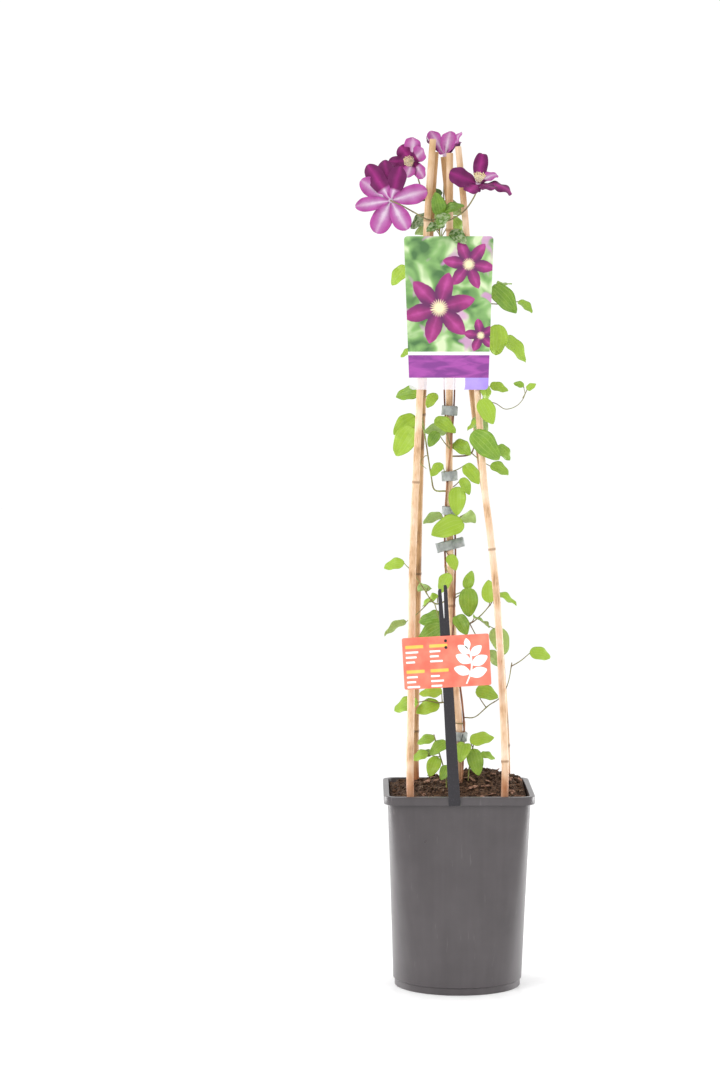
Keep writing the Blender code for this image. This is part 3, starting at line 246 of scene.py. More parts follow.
# The leaves are listed by the stem that carries them, as measured from the photo.
LEAVES = {
    "vine_right": [
        Leaf((-2, -19, 753), 300, -50, 35, 0.9), Leaf((-1, -22, 727), 282, -56, 33, 0.9),
        Leaf((18, -14, 705), 350, -14, 34), Leaf((10, -14, 684), 325, -58, 26, 0.9),
        Leaf((-3, -18, 665), 275, -74, 40, 1.0), Leaf((-15, -19, 628), 198, -16, 48, 1.0),
        Leaf((15, -10, 556), 350, 72, 27, 0.9),
        Leaf((17, -15, 528), 300, -70, 42, 1.0), Leaf((5, -17, 496), 308, -42, 32),
        Leaf((14, 20, 640), 60, -10, 34, -0.9), Leaf((6, 22, 470), 90, -10, 32, -0.9),
    ],
    "vine_left": [
        Leaf((-6, -17, 582), 300, -46, 24), Leaf((-10, -19, 562), 200, -30, 30, 0.3),
        Leaf((-30, -10, 706), 190, -40, 24),
        Leaf((-34, 14, 640), 150, -12, 30, -0.8), Leaf((-28, 18, 770), 120, -12, 32, -0.8),
        Leaf((-34, -12, 748), 200, -52, 24),
        Leaf((-12, -19, 368), 230, 50, 15, 0.8, 4),
    ],
    "shoot_left": [
        Leaf((-74, -12, 744), 184, -56, 47, 0.9), Leaf((-76, -4, 767), 183, -42, 42, 0.9),
        Leaf((-81, -6, 969), 192, -48, 33), Leaf((-69, -4, 808), 182, -8, 33),
        Leaf((-37, -12, 800), 210, -50, 24), Leaf((-71, -6, 865), 182, -28, 20, 0.6),
    ],
    "shoot_right": [
        Leaf((37, -52, 741), 338, -36, 54, 1.0), Leaf((63, -4, 937), 352, -44, 50, 0.9),
        Leaf((78, -2, 869), 5, -40, 46, 0.6), Leaf((58, -8, 874), 348, -52, 45, 0.9),
        Leaf((37, -50, 783), 340, -46, 38, 0.9), Leaf((60, 4, 966), 8, -22, 30, 0.3),
        Leaf((58, -6, 707), 2, -14, 30, 0.7), Leaf((64, -4, 729), 0, -35, 28),
        Leaf((22, -8, 770), 200, -14, 28, 0.2), Leaf((56, -6, 818), 0, -8, 27, 0.7),
        Leaf((93, -2, 925), 0, -14, 26, 0.4), Leaf((31, -48, 806), 350, -38, 26),
        Leaf((82, -5, 822), 180, 22, 15), Leaf((97, -4, 822), 0, 18, 15),
        Leaf((30, 22, 760), 100, -16, 36, -0.9),
    ],
    "shoot_left_mid": [
        Leaf((-39, -22, 485), 190, -26, 39, 0.9), Leaf((-44, -20, 503), 186, -14, 37),
        Leaf((-88, -12, 493), 181, -18, 37, -0.5), Leaf((-41, -10, 523), 182, -12, 31, 0.5),
        Leaf((-88, -12, 578), 182, -5, 30, 0.7),
        Leaf((-46, 4, 545), 120, -8, 28, -0.8),
    ],
    "shoot_right_mid": [
        Leaf((42, -12, 541), 95, 76, 33, 0.9), Leaf((66, -10, 531), 0, -12, 34, 0.3),
        Leaf((34, -12, 502), 0, -5, 34, 0.3),
        Leaf((58, -2, 472), 15, -62, 40, -0.7), Leaf((50, 2, 448), 10, -40, 30, -0.7),
    ],
    "shoot_left_low": [
        Leaf((-72, -14, 386), 184, -10, 36, 0.7), Leaf((-41, -12, 383), 188, -12, 35),
        Leaf((-38, -16, 402), 182, 0, 32, 0.7),
    ],
    "shoot_right_low": [
        Leaf((40, -16, 402), 350, -8, 33), Leaf((113, -14, 455), 0, -4, 32, 0.9),
    ],
    "shoot_base_left": [
        Leaf((-30, -24, 326), 215, -30, 30), Leaf((-34, -26, 303), 235, -52, 30, 0.9),
        Leaf((-44, -16, 338), 186, -6, 26, 0.7), Leaf((-52, -14, 316), 184, -14, 24, 0.7),
        Leaf((-20, -28, 298), 250, -56, 24, 0.9),
        Leaf((-40, 10, 316), 120, -10, 26, -0.7),
    ],
    "shoot_base_right": [
        Leaf((24, -22, 308), 300, -64, 38, 1.0), Leaf((33, -14, 340), 355, 18, 35),
        Leaf((10, -20, 326), 260, -60, 34, 0.9), Leaf((42, -10, 316), 0, -4, 22, 0.5),
    ],
    "shoot_top_front": [
        Leaf((-53, -4, 1043), 190, -20, 32, 0.7), Leaf((-28, -30, 1064), 250, 64, 32),
        Leaf((-10, -28, 1058), 330, 20, 32, 0.6), Leaf((-36, -32, 1036), 205, -26, 30, 0.5),
        Leaf((-6, -38, 1021), 300, -56, 30, 0.9), Leaf((-14, -36, 1040), 280, -20, 30, 0.7),
        Leaf((6, -34, 1036), 340, -26, 28),
    ],
    "shoot_top_back": [
        Leaf((-8, 30, 1060), 20, -14, 34, -0.7), Leaf((-30, 16, 1074), 210, 10, 32, 0.7),
        Leaf((-44, 40, 1034), 150, -10, 32, -0.8), Leaf((-24, 48, 1048), 90, -38, 32, -0.9),
        Leaf((-2, 20, 1036), 10, -30, 32, 0.7), Leaf((-26, 10, 1046), 200, -20, 30, 0.6),
    ],
}

BLOOMS = (
    Bloom("bloom_left", (-92, -22, 1069), (-0.10, 0.96, 0.12), 90, "shoot_top_front",
          ((-78, -34, 1062), (-60, -36, 1052), (-42, -32, 1043)),
          (Tepal(19, 50, 27), Tepal(-57, 44, 26), Tepal(-111, 47, 29), Tepal(-168, 49, 20),
           Tepal(150, 48, 26), Tepal(127, 57, 25, 30, 0, 180), Tepal(102, 56, 25, 36, 0, 180),
           Tepal(78, 47, 25, 30, 0, 180))),
    Bloom("bloom_upper_left", (-62, 46, 1127), (-0.35, -0.85, -0.10), 72, "shoot_top_back",
          ((-55, 60, 1108), (-46, 52, 1080), (-36, 40, 1058)),
          (Tepal(0, 31, 14), Tepal(-28, 29, 19), Tepal(55, 25, 24), Tepal(102, 34, 25, 24, 0, 180),
           Tepal(146, 31, 23, 20, 0, 180), Tepal(228, 33, 18, 30, 0, 180), Tepal(280, 25, 20, 24, 0, 180))),
    Bloom("bloom_top", (-17, 44, 1134), (-0.10, 0.25, 0.95), 44, "shoot_top_back",
          ((-18, 41, 1110), (-19, 42, 1080), (-19, 39, 1054)),
          (Tepal(55, 38, 24, 6), Tepal(117, 37, 23, 6), Tepal(175, 39, 23, 6), Tepal(236, 38, 22, -40),
           Tepal(293, 36, 23, 6), Tepal(356, 39, 24, 6))),
    Bloom("bloom_right", (25, -38, 1090), (0.12, -0.55, 0.80), 72, "shoot_top_front",
          ((18, -28, 1070), (6, -28, 1054), (-14, -27, 1042)),
          (Tepal(5, 41, 28, 10, 4, -35), Tepal(98, 45, 20, -95, -12), Tepal(150, 31, 18, -50, -6, 180),
           Tepal(186, 49, 23, 60, 4), Tepal(236, 33, 22, 16), Tepal(300, 32, 23, 20))),
)


def linear(code: str) -> tuple[float, float, float, float]:
    """Turn an sRGB hex colour to linear.

    Args:
        code: The colour as "#RRGGBB".

    Returns:
        Linear red, green, blue and an alpha of 1.
    """
    channels = [int(code[at:at + 2], 16) / 255 for at in (1, 3, 5)]
    red, green, blue = (c / 12.92 if c <= 0.04045 else ((c + 0.055) / 1.055) ** 2.4 for c in channels)
    return (red, green, blue, 1.0)


def per_mm(size: float) -> float:
    """Return the texture scale whose cells are size mm across in coordinates of metres."""
    return 1000 / size


def fill(tree: bpy.types.NodeTree, node: bpy.types.Node, inputs: Inputs) -> None:
    """Set or link a node's inputs.

    Args:
        tree: The node tree.
        node: The node.
        inputs: Values, hex colours or output sockets, by the input's name or number.
    """
    for name, value in inputs.items():
        if isinstance(value, bpy.types.NodeSocket):
            tree.links.new(value, node.inputs[name])
        else:
            node.inputs[name].default_value = linear(value) if isinstance(value, str) else value


def add_node(tree: bpy.types.NodeTree, kind: str, inputs: Inputs, out: int | str = 0,
             **settings: object) -> Socket:
    """Add a node with its settings and inputs.

    A Mix of colours takes its factor as input 0 and its colours as 6 and 7, and gives output 2.
    A MapRange takes its value as input 0, the span it comes from as 1 and 2, and the span it
    goes to as 3 and 4.

    Args:
        tree: The node tree.
        kind: The node's type, without its "ShaderNode" start.
        inputs: What fill() takes.
        out: The name or number of the output to return.
        settings: Properties by name. "stops" lists a ramp's pairs of place and grey or hex colour.

    Returns:
        The output socket.
    """
    node = tree.nodes.new("ShaderNode" + kind)
    stops = settings.pop("stops", ())
    for name, value in settings.items():
        setattr(node, name, value)
    for index, (place, tone) in enumerate(stops):
        ramp = node.color_ramp.elements
        element = ramp[index] if index < len(ramp) else ramp.new(1.0)
        element.position = place
        element.color = linear(tone) if isinstance(tone, str) else (tone, tone, tone, 1.0)
    fill(tree, node, inputs)
    return node.outputs[out]


@dataclass(frozen=True)
class Finish:
    """A real material and its surface. name is Blender's, and slot is the record's.

    A finish gives its patterns' sizes in mm. A real grain, fibre, rib or vein net is too fine
    to show from where the camera stands, so these are drawn coarser.
    """

    name: str
    slot: str

    def material(self) -> bpy.types.Material:
        """Return the node material, made the first time that it is asked for.

        Returns:
            The material.
        """
        found = bpy.data.materials.get(self.name)
        if found:
            return found
        made = bpy.data.materials.new(self.name)
        made.use_nodes = True
        tree = made.node_tree
        add = partial(add_node, tree)
        fill(tree, tree.nodes["Principled BSDF"], self.dress(add, self.place(add)))
        return made

    def place(self, add: AddNode) -> Socket:
        """Return the coordinates of the finish's patterns: the object's, in metres."""
        return add("TexCoord", {}, "Object")

    def dress(self, add: AddNode, place: Socket) -> Inputs:
        """Add the finish's nodes with add, over the coordinates, and return the shader's inputs."""
        raise NotImplementedError


@dataclass(frozen=True)
class MouldedPolypropylene(Finish):
    """Injection-moulded recycled polypropylene: satin, with flow streaks and shelf scuffs.

    The streaks run up the wall as the melt did, and pale scuffs catch the light.
    """

    body: str = "#433E40"
    streak: str = "#4E494B"
    scuff: str = "#7C7778"
    streak_width: float = 14.0
    cloud: float = 60.0
    scuff_width: float = 5.0
    grain: float = 0.9

    def dress(self, add: AddNode, place: Socket) -> Inputs:
        """Add flow streaks, scuffs and mould grain.

        Args:
            add: Adds a node.
            place: The coordinates.

        Returns:
            The shader's inputs.
        """
        tall = add("Mapping", {"Vector": place, "Scale": (1.0, 1.0, 0.06)})
        streaks = add("TexNoise", {"Vector": tall, "Scale": per_mm(self.streak_width), "Detail": 4.0})
        clouds = add("TexNoise", {"Vector": place, "Scale": per_mm(self.cloud), "Detail": 3.0})
        both = add("Math", {0: streaks, 1: 0.55, 2: clouds}, operation="MULTIPLY_ADD")
        base = add("ValToRGB", {0: both}, stops=[(0.55, self.body), (1.0, self.streak)])
        slanted = add("Mapping", {"Vector": place, "Rotation": (0.3, 0.5, 0.4), "Scale": (1.0, 1.0, 0.12)})
        marks = add("TexNoise", {"Vector": slanted, "Scale": per_mm(self.scuff_width), "Detail": 6.0})
        scuffs = add("ValToRGB", {0: marks}, stops=[(0.66, 0.0), (0.78, 0.3)])
        grain = add("TexNoise", {"Vector": place, "Scale": per_mm(self.grain), "Detail": 2.0})
        return {"Base Color": add("Mix", {0: scuffs, 6: base, 7: self.scuff}, 2, data_type="RGBA"),
                "Roughness": add("MapRange", {0: clouds, 3: 0.24, 4: 0.36}),
                "Normal": add("Bump", {"Height": grain, "Strength": 0.12, "Distance": 0.2 * MM})}


@dataclass(frozen=True)
class PeatAndBark(Finish):
    """Loose peat with composted bark: dead matt, dark and crumbly, with paler dry crumbs."""

    wet: str = "#1F140E"
    middle: str = "#3C2A1F"
    dry: str = "#6B513E"
    crumb: float = 2.4
    clump: float = 5.0

    def dress(self, add: AddNode, place: Socket) -> Inputs:
        """Add crumb colours and a crumbly relief.

        Args:
            add: Adds a node.
            place: The coordinates.

        Returns:
            The shader's inputs.
        """
        crumbs = add("TexVoronoi", {"Vector": place, "Scale": per_mm(self.crumb)}, "Color")
        loose = add("TexNoise", {"Vector": place, "Scale": per_mm(self.clump), "Detail": 6.0,
                                 "Roughness": 0.7})
        shade = add("SeparateColor", {0: crumbs})
        mixed = add("Math", {0: shade, 1: 0.35, 2: loose}, operation="MULTIPLY_ADD")
        return {"Base Color": add("ValToRGB", {0: mixed},
                                  stops=[(0.36, self.wet), (0.62, self.middle), (0.86, self.dry)]),
                "Normal": add("Bump", {"Height": mixed, "Strength": 0.9, "Distance": 1.2 * MM}),
                "Roughness": 0.95, "Specular IOR Level": 0.2}


@dataclass(frozen=True)
class DriedBamboo(Finish):
    """Dried bamboo cane with its own skin: satin, straight-grained, with dark joint rings.

    Damp darkens its foot and sun its tip, each between the heights in metres where it is full
    and where it is gone. The points' "joint" value says how near a ring is. Inside a sawn
    end's hollow it paints shade in the rings' colour, darker with depth.
    """

    pale: str = "#E7CFB6"
    warm: str = "#D3AE88"
    dark: str = "#A98159"
    ring: str = "#84603F"
    stain: str = "#A85F33"
    weathered: str = "#AE8A58"
    fibre: float = 0.9
    patch: float = 34.0
    damp: tuple[float, float] = (0.262, 0.318)
    sunned: tuple[float, float] = (1.09, 0.98)

    def dress(self, add: AddNode, place: Socket) -> Inputs:
        """Add long fibres, joint rings, painted shade in the sawn end's hollow, a damp foot, a weathered tip
        and a satin skin.

        Args:
            add: Adds a node.
            place: The coordinates.

        Returns:
            The shader's inputs.
        """
        tall = add("Mapping", {"Vector": place, "Scale": (1.0, 1.0, 0.025)})
        fibres = add("TexNoise", {"Vector": tall, "Scale": per_mm(self.fibre), "Detail": 3.0})
        patches = add("TexNoise", {"Vector": place, "Scale": per_mm(self.patch), "Detail": 4.0})
        both = add("Math", {0: fibres, 1: 0.6, 2: patches}, operation="MULTIPLY_ADD")
        colour = add("ValToRGB", {0: both}, stops=[(0.55, self.pale), (0.85, self.warm), (1.0, self.dark)])
        # "joint" is how near a ring is, and in the sawn end's hollow it is painted shade that darkens with
        # depth.
        joint = add("Attribute", {}, "Fac", attribute_name="joint")
        ring = add("ValToRGB", {0: joint}, stops=[(0.35, 0.0), (0.9, 0.7)])
        colour = add("Mix", {0: ring, 6: colour, 7: self.ring}, 2, data_type="RGBA")
        height = add("SeparateXYZ", {0: place}, 2)
        zones = ((self.damp, 1.5, self.stain), (self.sunned, 1.1, self.weathered))
        for (full, gone), strength, tone in zones:
            zone = add("MapRange", {0: height, 1: full, 2: gone, 3: strength, 4: 0.0})
            share = add("Math", {0: zone, 1: patches}, operation="MULTIPLY")
            colour = add("Mix", {0: share, 6: colour, 7: tone}, 2, data_type="RGBA")
        return {"Base Color": colour,
                "Roughness": add("MapRange", {0: patches, 3: 0.40, 4: 0.62}),
                "Normal": add("Bump", {"Height": fibres, "Strength": 0.25, "Distance": 0.2 * MM})}


@dataclass(frozen=True)
class MattPlastic(Finish):
    """Moulded plastic with a spark-eroded matt face: flat, with pale rubbed specks."""

    body: str = "#1D1A20"
    rubbed: str = "#413C46"
    speck: float = 1.6
    roughness: float = 0.5

    def dress(self, add: AddNode, place: Socket) -> Inputs:
        """Add rubbed specks and a fine sparked grain.

        Args:
            add: Adds a node.
            place: The coordinates.

        Returns:
            The shader's inputs.
        """
        specks = add("TexNoise", {"Vector": place, "Scale": per_mm(self.speck), "Detail": 5.0})
        return {"Base Color": add("ValToRGB", {0: specks}, stops=[(0.58, self.body), (0.80, self.rubbed)]),
                "Normal": add("Bump", {"Height": specks, "Strength": 0.25, "Distance": 0.15 * MM}),
                "Roughness": self.roughness}


@dataclass(frozen=True)
class PrintedCard(Finish):
    """Offset-printed plastic card: even ink with a faint mottle under a semi-gloss varnish."""

    ink: str = "#EE6A55"
    mottle: str = "#F58B73"
    roughness: float = 0.38
    cloud: float = 18.0
    peel: float = 1.5

    def dress(self, add: AddNode, place: Socket) -> Inputs:
        """Add ink mottle and a faint orange-peel varnish.

        Args:
            add: Adds a node.
            place: The coordinates.

        Returns:
            The shader's inputs.
        """
        clouds = add("TexNoise", {"Vector": place, "Scale": per_mm(self.cloud), "Detail": 4.0})
        peel = add("TexNoise", {"Vector": place, "Scale": per_mm(self.peel), "Detail": 1.0})
        return {"Base Color": add("ValToRGB", {0: clouds}, stops=[(0.35, self.ink), (0.75, self.mottle)]),
                "Normal": add("Bump", {"Height": peel, "Strength": 0.08, "Distance": 0.1 * MM}),
                "Roughness": self.roughness, "Coat Weight": 0.25}


@dataclass(frozen=True)
class ClearFilm(Finish):
    """Clear polyester film: the canes behind it show through, with faint handling marks."""

    tint: str = "#F4F0F8"
    mark: float = 9.0

    def dress(self, add: AddNode, place: Socket) -> Inputs:
        """Make the shader clear, with faint marks in its gloss.

        Args:
            add: Adds a node.
            place: The coordinates.

        Returns:
            The shader's inputs.
        """
        marks = add("TexNoise", {"Vector": place, "Scale": per_mm(self.mark), "Detail": 3.0})
        return {"Roughness": add("MapRange", {0: marks, 3: 0.05, 4: 0.18}), "Base Color": self.tint,
                "Alpha": 0.38, "IOR": 1.5}


@dataclass(frozen=True)
class WovenTyingTape(Finish):
    """Grey stretch tying tape: matt, with fine lengthwise ribs and pale stretch creases."""

    body: str = "#888E8C"
    crease: str = "#A9AFAD"
    rib: float = 1.1
    crease_size: float = 8.0

    def dress(self, add: AddNode, place: Socket) -> Inputs:
        """Add creases and ribs.

        Args:
            add: Adds a node.
            place: The coordinates.

        Returns:
            The shader's inputs.
        """
        flat = add("Mapping", {"Vector": place, "Scale": (0.4, 0.4, 1.0)})
        ribs = add("TexNoise", {"Vector": flat, "Scale": per_mm(self.rib), "Detail": 2.0})
        creases = add("TexNoise", {"Vector": place, "Scale": per_mm(self.crease_size), "Detail": 3.0})
        return {"Base Color": add("ValToRGB", {0: creases}, stops=[(0.40, self.body), (0.68, self.crease)]),
                "Normal": add("Bump", {"Height": ribs, "Strength": 0.5, "Distance": 0.3 * MM}),
                "Roughness": 0.62}


@dataclass(frozen=True)
class LivingLeaf(Finish):
    """A living leaf with a thin wax bloom: satin above, paler and duller beneath.

    Palmate veins run along lines of equal "across", with a net between them, drawn coarser
    than a real one so that it shows. "tint" ages the leaf and "mottle" greys it in patches.
    """

    young: str = "#93B330"
    grown: str = "#648C27"
    old: str = "#31591B"
    vein: str = "#B4CB72"
    under: str = "#96AD6E"
    patch: str = "#AEBD9A"
    cloud: float = 9.0
    blot: float = 5.0
    net_cell: float = 2.6
    vein_share: float = 0.19

    def dress(self, add: AddNode, place: Socket) -> Inputs:
        """Add age colours, veins, patches, the paler underside and the veins' relief.

        Args:
            add: Adds a node.
            place: The coordinates.

        Returns:
            The shader's inputs.
        """
        across, tint, side, mottle = (add("Attribute", {}, "Fac", attribute_name=name)
                                      for name in ("across", "tint", "side", "mottle"))
        clouds = add("TexNoise", {"Vector": place, "Scale": per_mm(self.cloud), "Detail": 4.0})
        age = add("Math", {0: clouds, 1: 0.5, 2: tint}, operation="MULTIPLY_ADD")
        aged = add("ValToRGB", {0: age}, stops=[(0.25, self.young), (0.75, self.grown), (1.0, self.old)])
        blots = add("TexNoise", {"Vector": place, "Scale": per_mm(self.blot), "Detail": 3.0})
        blotted = add("Math", {0: blots, 1: mottle}, operation="MULTIPLY")
        patched = add("ValToRGB", {0: blotted}, stops=[(0.42, 0.0), (0.56, 0.62)])
        upper = add("Mix", {0: patched, 6: aged, 7: self.patch}, 2, data_type="RGBA")
        lower = add("Mix", {0: 0.68, 6: upper, 7: self.under}, 2, data_type="RGBA")
        faced = add("Mix", {0: side, 6: upper, 7: lower}, 2, data_type="RGBA")
        spread = add("Math", {0: across}, operation="ABSOLUTE")
        ribs = add("Math", {0: spread, 1: self.vein_share}, operation="PINGPONG")
        veins = add("ValToRGB", {0: ribs}, stops=[(0.0, 0.42), (0.02, 0.16), (0.05, 0.0)])
        net = add("TexVoronoi", {"Vector": place, "Scale": per_mm(self.net_cell)}, feature="DISTANCE_TO_EDGE")
        net_lines = add("ValToRGB", {0: net}, stops=[(0.0, 0.20), (0.07, 0.0)])
        lines = add("Math", {0: veins, 1: net_lines}, operation="MAXIMUM")
        sunk = add("MapRange", {0: side, 3: -1.0, 4: 1.0})
        height = add("Math", {0: lines, 1: sunk}, operation="MULTIPLY")
        return {"Base Color": add("Mix", {0: lines, 6: faced, 7: self.vein}, 2, data_type="RGBA"),
                "Roughness": add("MapRange", {0: side, 3: 0.40, 4: 0.7}),
                "Normal": add("Bump", {"Height": height, "Strength": 0.5, "Distance": 0.3 * MM}),
                "Specular IOR Level": 0.38}


@dataclass(frozen=True)
class LivingTepal(Finish):
    """A living tepal: velvety deep magenta-purple inside, pale lilac behind with a pale rib.

    Fine veins fan out along lines of equal "across", and both sides deepen towards the edge.
    """

    heart: str = "#A22B80"
    deep: str = "#851C69"
    fold: str = "#641250"
    back: str = "#B87DB0"
    back_edge: str = "#AC4A98"
    back_rib: str = "#D8C2D6"
    cloud: float = 11.0
    vein_share: float = 0.055

    def dress(self, add: AddNode, place: Socket) -> Inputs:
        """Add both sides' colours, the veins and the velvet.

        Args:
            add: Adds a node.
            place: The coordinates.

        Returns:
            The shader's inputs.
        """
        across, along, side, tint = (add("Attribute", {}, "Fac", attribute_name=name)
                                     for name in ("across", "along", "side", "tint"))
        spread = add("Math", {0: across}, operation="ABSOLUTE")
        clouds = add("TexNoise", {"Vector": place, "Scale": per_mm(self.cloud), "Detail": 4.0})
        wander = add("Math", {0: clouds, 1: 0.48, 2: spread}, operation="MULTIPLY_ADD")
        inner_at = add("Math", {0: tint, 1: 0.4, 2: wander}, operation="MULTIPLY_ADD")
        inner = add("ValToRGB", {0: inner_at}, stops=[(0.2, self.heart), (0.6, self.deep), (1.0, self.fold)])
        outer = add("ValToRGB", {0: wander},
                    stops=[(0.26, self.back_rib), (0.56, self.back), (1.0, self.back_edge)])
        tip = add("MapRange", {0: along, 1: 0.45, 2: 1.0, 3: 0.0, 4: 0.65})
        outer = add("Mix", {0: tip, 6: outer, 7: self.back_edge}, 2, data_type="RGBA")
        faced = add("Mix", {0: side, 6: inner, 7: outer}, 2, data_type="RGBA")
        ribs = add("Math", {0: spread, 1: self.vein_share}, operation="PINGPONG")
        veins = add("MapRange", {0: ribs, 1: 0.0, 2: 0.022, 3: 0.34, 4: 0.0})
        return {"Base Color": add("Mix", {0: veins, 6: faced, 7: self.fold}, 2, data_type="RGBA"),
                "Normal": add("Bump", {"Height": veins, "Strength": 0.35, "Distance": 0.25 * MM}),
                "Roughness": 0.62, "Sheen Weight": 0.06, "Sheen Roughness": 0.4, "Specular IOR Level": 0.3}


@dataclass(frozen=True)
class LivingStem(Finish):
    """A living or woody stem: lengthwise fibres, reddish where the sun reached it."""

    light: str = "#8D9A4C"
    dark: str = "#6A4A32"
    fibre: float = 0.8
    roughness: float = 0.55
    patch: float = 22.0

    def dress(self, add: AddNode, place: Socket) -> Inputs:
        """Add patches of both colours and a fibrous relief.

        Args:
            add: Adds a node.
            place: The coordinates.

        Returns:
            The shader's inputs.
        """
        tall = add("Mapping", {"Vector": place, "Scale": (1.0, 1.0, 0.2)})
        fibres = add("TexNoise", {"Vector": tall, "Scale": per_mm(self.fibre), "Detail": 3.0})
        patches = add("TexNoise", {"Vector": place, "Scale": per_mm(self.patch), "Detail": 4.0})
        both = add("Math", {0: fibres, 1: 0.4, 2: patches}, operation="MULTIPLY_ADD")
        return {"Base Color": add("ValToRGB", {0: both}, stops=[(0.52, self.light), (0.85, self.dark)]),
                "Normal": add("Bump", {"Height": fibres, "Strength": 0.5, "Distance": 0.3 * MM}),
                "Roughness": self.roughness}


@dataclass(frozen=True)
class Blossom:
    """A printed blossom: its middle and radius in mm, its petals and its first petal's turn."""

    x: float
    y: float
    radius: float
    petals: int
    turn: float


@dataclass(frozen=True)
class FilmPrint(Finish):
    """A print on polyester film under a semi-gloss varnish, drawn in mm from the label's top middle."""

    def place(self, add: AddNode) -> Socket:
        """Return the print's coordinates in mm, which the points carry."""
        x, y = (add("Attribute", {}, "Fac", attribute_name=name) for name in ("print_x", "print_y"))
        return add("CombineXYZ", {0: x, 1: y})

    def varnished(self, ink: Socket) -> Inputs:
        """Return the shader's inputs for an ink under varnish."""
        return {"Base Color": ink, "Roughness": 0.3, "Coat Weight": 0.3}


@dataclass(frozen=True)
class PicturePrint(FilmPrint):
    """A four-colour picture: soft garden greens with three purple blossoms, of no real variety."""

    shade: str = "#3F6B36"
    green: str = "#7FAC63"
    light: str = "#CBDDB0"
    haze: str = "#C78BC0"
    petal: str = "#93226F"
    petal_dark: str = "#5E1253"
    petal_rib: str = "#B23F8E"
    stamen: str = "#EFE3B4"
    blossoms: tuple[Blossom, ...] = (
        Blossom(43, -134, 24, 5, 0.5), Blossom(27, -38, 37, 6, 0.9), Blossom(-13, -97, 52, 6, 0.25))

    def dress(self, add: AddNode, place: Socket) -> Inputs:
        """Add the soft background, and the blossoms one over the other.

        Args:
            add: Adds a node.
            place: The coordinates.

        Returns:
            The shader's inputs.
        """
        blur = add("TexNoise", {"Vector": place, "Scale": 1 / 26, "Detail": 1.5, "Distortion": 0.6})
        ground = add("ValToRGB", {0: blur}, stops=[(0.34, self.shade), (0.5, self.green), (0.66, self.light)])
        pinks = add("TexNoise", {"Vector": place, "Scale": 1 / 34, "Detail": 1.0, "Distortion": 1.0})
        haze = add("ValToRGB", {0: pinks}, stops=[(0.58, 0.0), (0.68, 0.8)])
        picture = add("Mix", {0: haze, 6: ground, 7: self.haze}, 2, data_type="RGBA")
        for blossom in self.blossoms:
            picture = self.blossom_over(add, place, picture, blossom)
        return self.varnished(picture)

    def blossom_over(self, add: AddNode, place: Socket, under: Socket,
                     blossom: Blossom) -> Socket:
        """Paint one blossom over a picture.

        Args:
            add: Adds a node.
            place: The print's coordinates in mm.
            under: The picture's colour below the blossom.
            blossom: The blossom.

        Returns:
            The colour of the picture with the blossom on it.
        """
        size = blossom.radius
        moved = add("Mapping", {"Vector": place, "Location": (blossom.x, blossom.y, 0.0),
                                "Rotation": (0.0, 0.0, blossom.turn), "Scale": (size, size, 1.0)},
                    vector_type="TEXTURE")
        ripple = add("TexNoise", {"Vector": moved, "Scale": 3.0, "Detail": 3.0})
        x, y = (add("SeparateXYZ", {0: moved}, axis) for axis in (0, 1))
        angle = add("Math", {0: y, 1: x}, operation="ARCTAN2")
        distance = add("VectorMath", {0: moved}, "Value", operation="LENGTH")
        half = math.pi / blossom.petals
        share = add("Math", {0: angle, 1: half}, operation="PINGPONG")
        # A petal is widest near the heart and comes to a point at distance 1.
        left = add("Math", {0: 1.0, 1: distance}, operation="SUBTRACT", use_clamp=True)
        narrowing = add("Math", {0: left, 1: 0.75}, operation="POWER")
        width = add("Math", {0: narrowing, 1: 1.6 * half}, operation="MULTIPLY")
        swell = add("Math", {0: ripple, 1: 0.5, 2: 0.85}, operation="MULTIPLY_ADD")
        waved = add("Math", {0: width, 1: swell}, operation="MULTIPLY")
        inside = add("Math", {0: waved, 1: share}, operation="SUBTRACT")
        mask = add("MapRange", {0: inside, 1: 0.07, 2: 0.10})
        toned = add("Math", {0: ripple, 1: 0.5, 2: share}, operation="MULTIPLY_ADD")
        tone = add("ValToRGB", {0: toned},
                   stops=[(0.20, self.petal_rib), (0.36, self.petal), (0.72, self.petal_dark)])
        shaded = add("MapRange", {0: distance, 1: 0.1, 2: 0.6, 3: 0.55, 4: 0.0})
        deep = add("Mix", {0: shaded, 6: tone, 7: self.petal_dark}, 2, data_type="RGBA")
        covered = add("Mix", {0: mask, 6: under, 7: deep}, 2, data_type="RGBA")
        spikes = add("Math", {0: angle, 1: 0.14}, operation="PINGPONG")
        reach = add("Math", {0: spikes, 1: -1.1, 2: 0.26}, operation="MULTIPLY_ADD")
        heart = add("Math", {0: reach, 1: distance}, operation="SUBTRACT")
        core = add("MapRange", {0: heart, 1: 0.0, 2: 0.03})
        return add("Mix", {0: core, 6: covered, 7: self.stamen}, 2, data_type="RGBA")


@dataclass(frozen=True)
class WispedPrint(FilmPrint):
    """A purple printed band with soft level wisps of two purples."""

    light: str = "#A0449F"
    dark: str = "#7C2F86"

    def dress(self, add: AddNode, place: Socket) -> Inputs:
        """Add the wisps.

        Args:
            add: Adds a node.
            place: The coordinates.

        Returns:
            The shader's inputs.
        """
        level = add("Mapping", {"Vector": place, "Scale": (0.25, 1.0, 1.0)})
        wisps = add("TexNoise", {"Vector": level, "Scale": 1 / 9, "Detail": 3.0, "Distortion": 0.8})
        return self.varnished(add("ValToRGB", {0: wisps}, stops=[(0.40, self.dark), (0.62, self.light)]))


